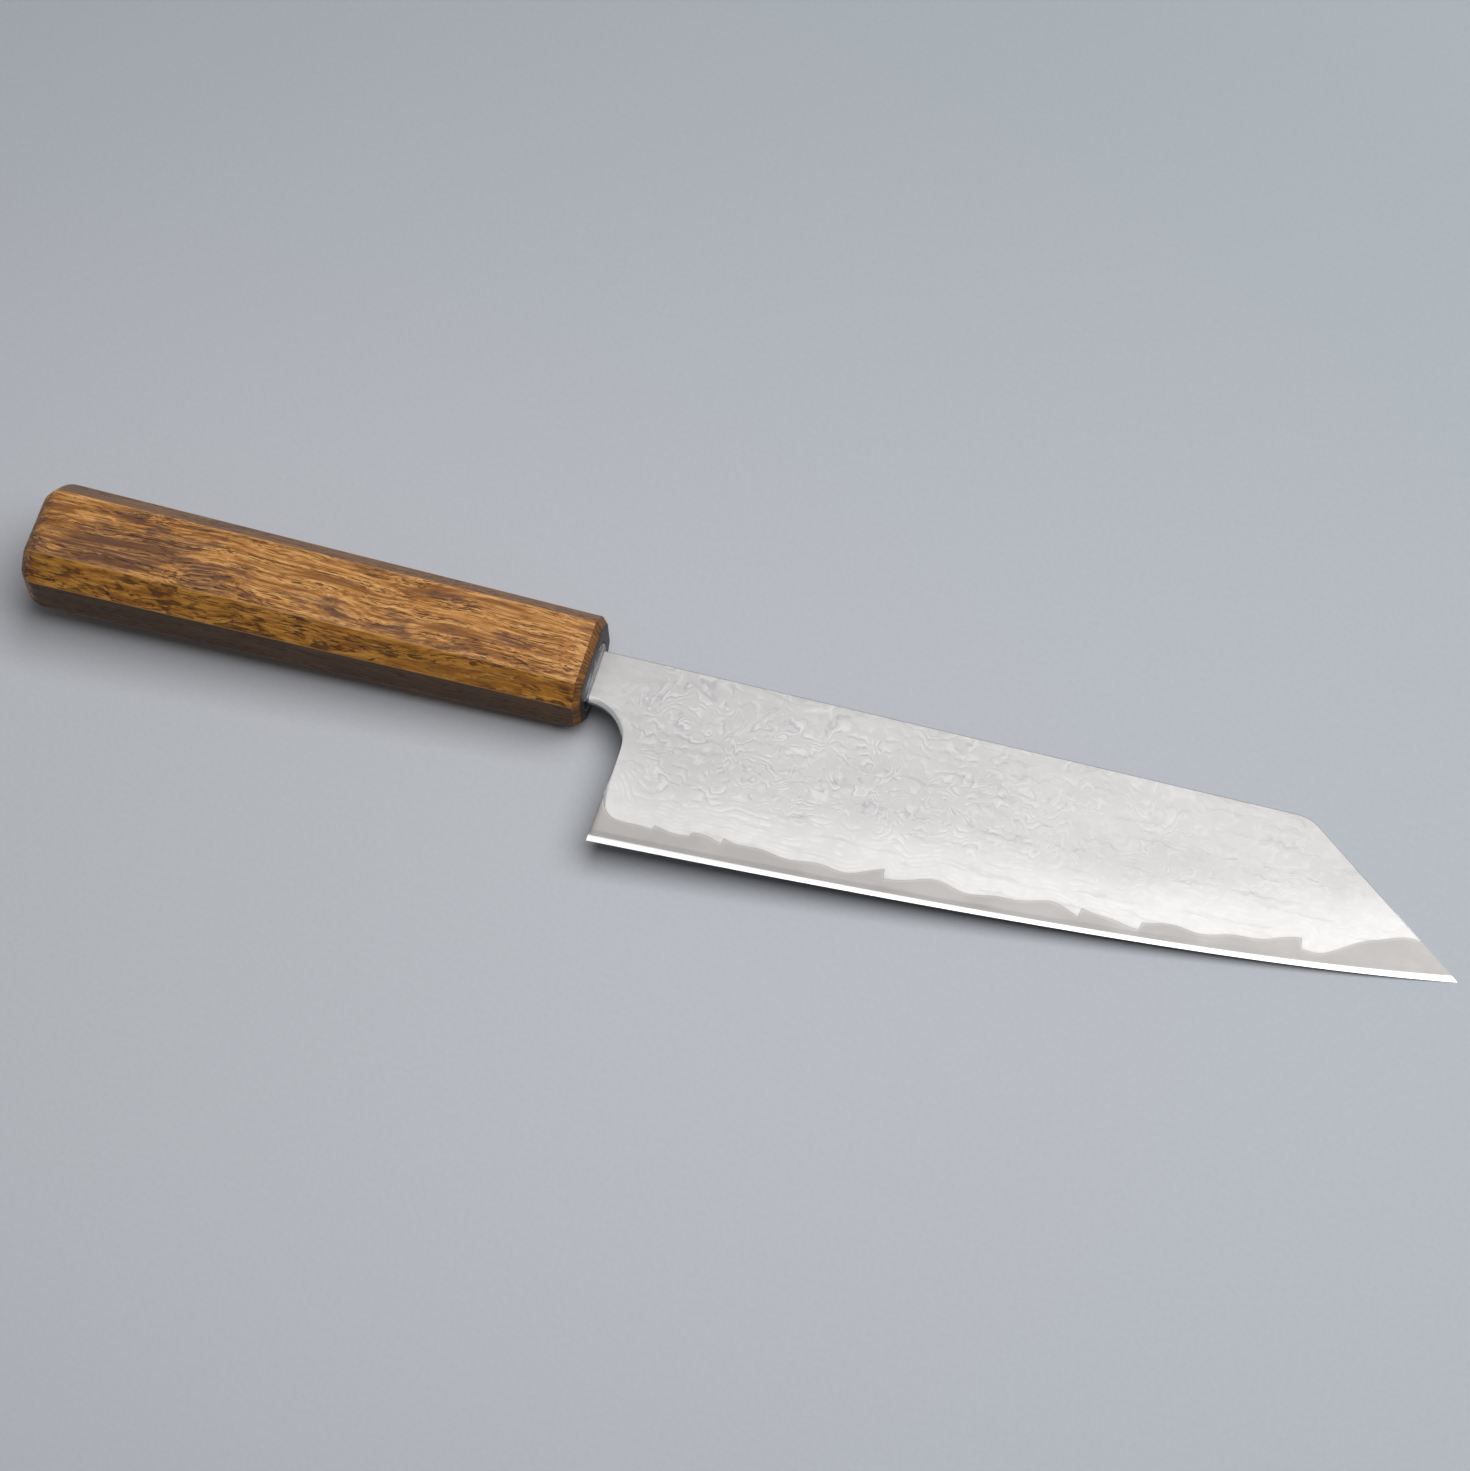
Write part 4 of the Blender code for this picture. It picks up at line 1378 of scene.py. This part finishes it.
        def on_wall(point: Vector, share: float) -> float:
            """Half thickness on the step at the layer line."""
            return mix(p.face_z(point.x, point.y), p.core_z(point.x, point.y), share)

        maker = SheetMaker(p)
        maker.sheet(bevel, 1, over_bevel, 1)
        maker.sheet(band, self.band_rows, lambda point, _: p.face_z(point.x, point.y))
        maker.sheet(wall, 1, on_wall)
        covered = self.outer_stations(under, False)
        maker.sheet(covered, self.face_rows, lambda point, _: p.core_z(point.x, point.y))
        drop, half = maker.drop, maker.half
        maker.thicken(lambda v: v[half] - v[drop], lambda v: v[drop] - v[half])
        maker.note_place(line)
        mark_creases(maker.bm, self.core_crease)
        materials = [self.core.band_material(kit), self.core.bevel_material(kit)]
        return finished("core_layer", maker.bm, materials, "core_steel")

    def _upright(self, line: Sequence[Vector], i: int, start: float, end: float) -> float:
        """Find the place below a point of the line, drawn out near the heel and the tip.

        Args:
            line: the layer line.
            i: number of the point.
            start: where the places begin at the heel.
            end: where they end at the tip.

        Returns:
            The place along the blade.
        """
        x = line[i].x
        first, last = line[self.profile.heel_return_steps].x, line[-1].x
        if x < first + self.heel_spread:
            return mix(start, first + self.heel_spread, (x - first) / self.heel_spread)
        if x > last - self.tip_spread:
            return mix(end, last - self.tip_spread, (last - x) / self.tip_spread)
        return x


@dataclass(frozen=True)
class OakHandle:
    """Octagonal handle that grows from the mouth to the butt, with a bore for the resin bed."""

    SIDE_SHARES = (0.05, 0.28, 0.5, 0.72, 0.95)
    BORE_PLACES = (-60.0, -30.0, -8.0, -1.0)
    MOUTH_SHARES = (0.35, 0.7)
    CHAMFER_CUTS = ((1.0, 1.0), (-0.35, 0.25), (-1.4, 0.0))
    BUTT_SHARES = (0.15, 0.35, 0.6, 0.8, 0.94)
    RINGS_BEFORE_ARRIS = 11

    finish: OakFinish = OakFinish()
    length: float = 128.69
    front: Pair = (23.49, 17.58)
    butt: Pair = (26.29, 20.58)
    front_bevel: Pair = (4.0, 4.5)
    butt_bevel: Pair = (5.1, 5.2)
    reach: float = 0.4
    chamfer: float = 1.25
    chamfer_length: float = 1.45
    chamfer_softening: float = 0.06
    mouth_softening: Pair = (0.05, 0.12)
    dome: float = 0.35
    lip_depth: float = 0.25
    lip_reach: float = 0.05
    butt_rounding: float = 5.5
    butt_round_steps: int = 10
    butt_dome: float = 0.9
    arris_trim: float = 0.5
    arris_steps: int = 4
    body_sections: int = 14
    crease: float = 38.0
    bore_middle: float = -0.95
    bore_front: Pair = (16.2, 9.5)
    bore_end: Pair = (10.0, 5.0)
    bore_depth: float = 92.0

    def ring(self, x: float, inset: float, shrink: float = 1.0) -> list[Vector]:
        """Cut the octagon across, with rounded arrises.

        Args:
            x: place along the handle.
            inset: how far every side is moved in.
            shrink: scale on the centre after that.

        Returns:
            Its points in order, starting next to the arris between the top and the far bevel.
        """
        share = min(max(-x / self.length, 0.0), 1.0)
        half_y, half_z = (0.5 * mix(a, b, share) for a, b in zip(self.front, self.butt))
        leg_y, leg_z = (mix(a, b, share) for a, b in zip(self.front_bevel, self.butt_bevel))
        slope = Vector((leg_z, leg_y)).normalized()
        reach = slope.dot(Vector((half_y - leg_y, half_z))) - inset
        flat_y, flat_z = half_y - inset, half_z - inset
        side = Vector(((reach - slope.y * flat_z) / slope.x, flat_z))
        top = Vector((flat_y, (reach - slope.x * flat_y) / slope.y))
        corners = []
        for sign_y, sign_z in QUARTERS:
            turned = [Vector((c.x * sign_y, c.y * sign_z)) for c in (top, side)]
            corners += turned if sign_y * sign_z > 0 else turned[::-1]
        points = []
        for i, corner in enumerate(corners):
            last, following = corners[i - 1], corners[(i + 1) % len(corners)]
            first, final = (corner + (c - corner).normalized() * self.arris_trim for c in (last, following))
            for t in steps(0, self.arris_steps):
                points.append(first.lerp(corner, t).lerp(corner.lerp(final, t), t))
            start = following + (corner - following).normalized() * self.arris_trim
            points += [final.lerp(start, t) for t in self.SIDE_SHARES]
        return [Vector((x, c.x * shrink, c.y * shrink)) for c in points]

    def bore_ring(self, x: float, around: Sequence[Vector]) -> list[Vector]:
        """Cut the bore across: a round-ended slot.

        Args:
            x: place along the handle.
            around: ring whose points it matches, each seen under the same angle.

        Returns:
            Its points in order.
        """
        share = min(max(-x / self.bore_depth, 0.0), 1.0)
        half_y, radius = (0.5 * mix(a, b, share) for a, b in zip(self.bore_front, self.bore_end))
        points = []
        for other in around:
            ray = Vector((other.y - self.bore_middle, other.z)).normalized()
            reach = radius / max(abs(ray.y), 1e-6)
            if abs(ray.x) * reach > half_y - radius:
                centre = Vector((math.copysign(half_y - radius, ray.x), 0.0))
                along = ray.dot(centre)
                reach = along + math.sqrt(along**2 - centre.length_squared + radius**2)
            points.append(Vector((x, self.bore_middle + ray.x * reach, ray.y * reach)))
        return points

    def sections(self) -> list[list[Vector]]:
        """Cut the handle across from the bottom of the bore, out through the mouth and over the body.

        Returns:
            Rings, the last of them on the butt.
        """
        around = self.ring(self.reach, self.chamfer)
        mouth_x = self.reach + 0.5 * self.dome
        rings = [self.bore_ring(x, around) for x in (-self.bore_depth, *self.BORE_PLACES)]
        rings.append(self.bore_ring(mouth_x - self.lip_depth, around))
        mouth = [p.lerp(q, self.lip_reach) for p, q in zip(self.bore_ring(mouth_x, around), around)]
        rings.append([Vector((mouth_x, p.y, p.z)) for p in mouth])
        for share in self.MOUTH_SHARES:
            x = mix(mouth_x, self.reach, share**2)
            pairs = zip(mouth, around)
            rings.append([Vector((x, mix(p.y, q.y, share), mix(p.z, q.z, share))) for p, q in pairs])
        end, small = self.reach - self.chamfer_length, self.chamfer_softening * self.chamfer
        round_start = self.length - self.butt_dome - self.butt_rounding
        back, inwards = self.mouth_softening
        cuts = [
            (self.reach, self.chamfer + inwards),
            (self.reach - back, self.chamfer),
            (mix(self.reach, end, 0.5), 0.5 * self.chamfer),
        ]
        cuts += [(end + ahead * small, inset * small) for ahead, inset in self.CHAMFER_CUTS]
        body = cuts[-1][0]
        cuts += [(mix(body, -round_start, t), 0.0) for t in steps(1, self.body_sections)[:-1]]
        for i in range(self.butt_round_steps + 1):
            angle = math.radians(90.0 / self.butt_round_steps * i)
            x = -round_start - self.butt_rounding * math.sin(angle)
            cuts.append((x, self.butt_rounding * (1.0 - math.cos(angle))))
        rings += [self.ring(x, inset) for x, inset in cuts]
        for share in self.BUTT_SHARES:
            x = -self.length + self.butt_dome * (1.0 - share) ** 2
            rings.append(self.ring(x, self.butt_rounding, 1.0 - share))
        return rings

    def build(self, kit: ShaderKit) -> bpy.types.Object:
        """Build the handle and dress it.

        Args:
            kit: shared shader groups.

        Returns:
            The finished piece.
        """
        bm, rings = lofted(self.sections())
        layer = bm.verts.layers.float[ARRIS]
        period = self.arris_steps + 1 + len(self.SIDE_SHARES)
        for ring in rings[self.RINGS_BEFORE_ARRIS :]:
            for i, vertex in enumerate(ring):
                step = i % period
                if step <= self.arris_steps:
                    vertex[layer] = 1.0 - abs(2.0 * step / self.arris_steps - 1.0)
        bmesh.ops.recalc_face_normals(bm, faces=bm.faces)
        mark_creases(bm, self.crease)
        return finished("oak_handle", bm, [self.finish.material(kit)], "handle_body")


@dataclass(frozen=True)
class ResinBed:
    """Resin that holds the tang in the bore, with a swollen rim round the neck."""

    BED_SHARES = (1.0, 0.66, 0.33, 0.1)
    RIM_CUTS = ((0.06, 0.50), (0.25, 0.66), (0.6, 0.82), (1.1, 0.95), (1.9, 1.02), (2.5, 1.05))
    CREST_CUTS = ((0.02, 0.5, 0.55), (0.12, 0.12, 0.4))
    RIPPLES = ((1.0, 1.7, 0.0), (1.0, 0.63, 1.0), (0.6, 3.1, 0.4))

    finish: ResinFinish = ResinFinish()
    middle: float = -0.95
    front: Pair = (16.1, 9.4)
    end: Pair = (9.9, 4.9)
    depth: float = 91.95
    bed_top: float = 0.3
    bed_flat: float = 0.01
    rim_slope: float = 1.4
    rim_flat: float = 0.02
    rim_ripple: float = 0.012
    crest_x: float = 1.05
    crest_depth: float = 0.45
    crest_ripple: float = 0.03
    neck: Pair = (12.7, 2.0)
    neck_gap: float = 0.14
    neck_corner: float = 0.3
    tang_root: Pair = (9.24, 2.24)
    tang_end: Pair = (6.24, 1.84)
    tang_corner: float = 0.2
    tang_depth: float = 88.3
    ledge: float = 3.3
    ledge_step: float = 0.02
    corner_steps: int = 8
    side_steps: int = 7
    crease: float = 50.0

    def ring(
        self, x: float, height: float, thickness: float, corner: float, ripple: float = 0.0
    ) -> list[Vector]:
        """Cut a rectangle with round corners across the tang.

        Args:
            x: place along the tang.
            height: size along y.
            thickness: size along z.
            corner: radius of its corners.
            ripple: depth of an uneven edge.

        Returns:
            Its points in order.
        """
        arcs = []
        for turn, (sign_y, sign_z) in enumerate(QUARTERS):
            centre = Vector((sign_y * (0.5 * height - corner), sign_z * (0.5 * thickness - corner)))
            angles = [math.radians(90.0 * (turn + t)) for t in steps(0, self.corner_steps)]
            arcs.append([centre + corner * Vector((math.cos(a), math.sin(a))) for a in angles])
        outline = []
        for arc, following in zip(arcs, arcs[1:] + arcs[:1]):
            outline += arc + [arc[-1].lerp(following[0], t) for t in steps(1, self.side_steps)[:-1]]
        placed = []
        for i, point in enumerate(outline):
            wobble = ripple * sum(size * math.sin(pace * i + start) for size, pace, start in self.RIPPLES)
            y = self.middle + point.x * (1.0 + 0.02 * wobble)
            placed.append(Vector((x + 0.8 * wobble, y, point.y + math.copysign(wobble, point.y))))
        return placed

    def build(self, kit: ShaderKit) -> bpy.types.Object:
        """Build the resin bed and dress it.

        Args:
            kit: shared shader groups.

        Returns:
            The finished piece.
        """
        rings = []
        for share, x in [(share, -self.depth * share) for share in self.BED_SHARES] + [(0.0, self.bed_top)]:
            height, thickness = (mix(a, b, share) for a, b in zip(self.front, self.end))
            rings.append(self.ring(x, height, thickness, 0.5 * thickness - self.bed_flat))
        for inset, x in self.RIM_CUTS:
            height, thickness = self.front[0] - self.rim_slope * inset, self.front[1] - 2.0 * inset
            rings.append(self.ring(x, height, thickness, 0.5 * thickness - self.rim_flat, self.rim_ripple))
        high, wide = (side + 2.0 * self.neck_gap for side in self.neck)
        for depth, swell, corner in self.CREST_CUTS:
            x = self.crest_x - depth
            rings.append(self.ring(x, high + swell, wide + swell, corner, self.crest_ripple))
        for x in (self.crest_x - self.crest_depth, -self.ledge):
            rings.append(self.ring(x, high, wide, self.neck_corner))
        for x, sides in ((-self.ledge - self.ledge_step, self.tang_root), (-self.tang_depth, self.tang_end)):
            rings.append(self.ring(x, *sides, self.tang_corner))
        bm, _ = lofted(rings)
        bmesh.ops.recalc_face_normals(bm, faces=bm.faces)
        mark_creases(bm, self.crease)
        return finished("resin_bed", bm, [self.finish.material(kit)], "tang_resin")


@dataclass(frozen=True)
class Studio:
    """Pale table, soft light from above and behind, and the camera."""

    table_side: float = 4.0
    table_colour: Colour = (0.572, 0.590, 0.629)
    painted_dim_table_colour: Colour = (0.434, 0.475, 0.515)
    table_roughness: float = 0.85
    table_specular: float = 0.2
    table_squares: int = 8
    painted_light_spot: Point = (-0.08, -0.05, 0.0)
    painted_light_squeeze: Point = (0.6, 1.0, 1.0)
    painted_light_reach: Pair = (0.05, 0.30)
    camera_place: Point = (0.19617, -0.429154, 0.869899)
    camera_turn: Point = (28.6396, 4.3793, 16.1679)
    camera_lens: float = 113.05
    camera_sensor: float = 36.0
    camera_range: Pair = (0.01, 50.0)
    softbox_place: Point = (0.64, 0.20, 1.15)
    softbox_size: Pair = (1.5, 1.2)
    softbox_power: float = 19.2
    sky: Colour = (0.96, 0.98, 1.0)
    sky_strength: float = 0.11
    room: Colour = (0.93, 0.95, 0.98)

    @staticmethod
    def _place(name: str, data: bpy.types.ID) -> bpy.types.Object:
        """Put a new object with its data into the scene.

        Args:
            name: its name.
            data: its mesh, lamp or camera.

        Returns:
            The object.
        """
        made = bpy.data.objects.new(name, data)
        bpy.context.scene.collection.objects.link(made)
        return made

    def build_table(self) -> None:
        """Lay the table under the knife."""
        bm = bmesh.new()
        squares, half = self.table_squares, 0.5 * self.table_side
        bmesh.ops.create_grid(bm, x_segments=squares, y_segments=squares, size=half)
        mesh = bpy.data.meshes.new("table")
        bm.to_mesh(mesh)
        bm.free()
        made, graph, shader = new_material("table_paper")
        # A painted pool of light: the table is paler round a spot near the knife and darker further off.
        place = graph.node("TexCoord").outputs["Object"]
        squeezed = graph.vector("MULTIPLY", place, self.painted_light_squeeze)
        away = graph.measure("DISTANCE", squeezed, self.painted_light_spot)
        tone = graph.blend(graph.ease(away, *self.painted_light_reach), self.table_colour, self.painted_dim_table_colour)
        grain = graph.ease(graph.noise(place, 900.0), 0.3, 0.7, 0.985, 1.015)
        graph.fill(shader, {
            "Base Color": graph.scaled(tone, grain),
            "Roughness": self.table_roughness,
            "Specular IOR Level": self.table_specular,
        })
        mesh.materials.append(made)
        self._place("table", mesh)

    def build_light(self) -> None:
        """Hang the softbox, facing straight down, and set the sky."""
        lamp = bpy.data.lights.new("softbox", "AREA")
        lamp.shape = "RECTANGLE"
        lamp.size, lamp.size_y = self.softbox_size
        lamp.energy = self.softbox_power
        self._place("softbox", lamp).location = self.softbox_place
        world = bpy.data.worlds.new("studio")
        bpy.context.scene.world = world
        world.use_nodes = True
        graph, nodes = Graph(world.node_tree), world.node_tree.nodes
        graph.fill(nodes["Background"], {"Color": self.sky, "Strength": self.sky_strength})
        # The room round the table, as the camera and the polished steel see it, is pale.
        room = graph.node("Background", {"Color": self.room, "Strength": 1.0})
        rays = graph.node("LightPath").outputs
        seen = graph.maths("MAXIMUM", rays["Is Camera Ray"], rays["Is Glossy Ray"])
        mixed = graph.node("MixShader", {0: seen, 1: nodes["Background"].outputs[0], 2: room.outputs[0]})
        graph.fill(nodes["World Output"], {"Surface": mixed.outputs[0]})

    def build_camera(self) -> None:
        """Set the camera where the photograph was taken from."""
        lens = bpy.data.cameras.new("camera")
        lens.lens, lens.sensor_width, lens.sensor_fit = self.camera_lens, self.camera_sensor, "HORIZONTAL"
        lens.clip_start, lens.clip_end = self.camera_range
        camera = self._place("camera", lens)
        camera.location = self.camera_place
        camera.rotation_euler = tuple(math.radians(a) for a in self.camera_turn)
        bpy.context.scene.camera = camera
        bpy.context.scene.view_settings.view_transform = "Standard"


def report(piece: bpy.types.Object) -> None:
    """Log a finished piece and its face count."""
    log.info("%s: %d faces", piece.name, len(piece.data.polygons))


def main() -> None:
    """Build the knife over its frame, then the studio round it."""
    logging.basicConfig(level=logging.INFO, format="%(message)s")
    kit = ShaderKit()
    blade = Blade()
    report(blade.build_core(kit))
    for side in Side:
        report(blade.build_cladding(side, kit))
    report(OakHandle().build(kit))
    report(ResinBed().build(kit))
    studio = Studio()
    studio.build_table()
    studio.build_light()
    studio.build_camera()


if __name__ == "__main__":
    main()
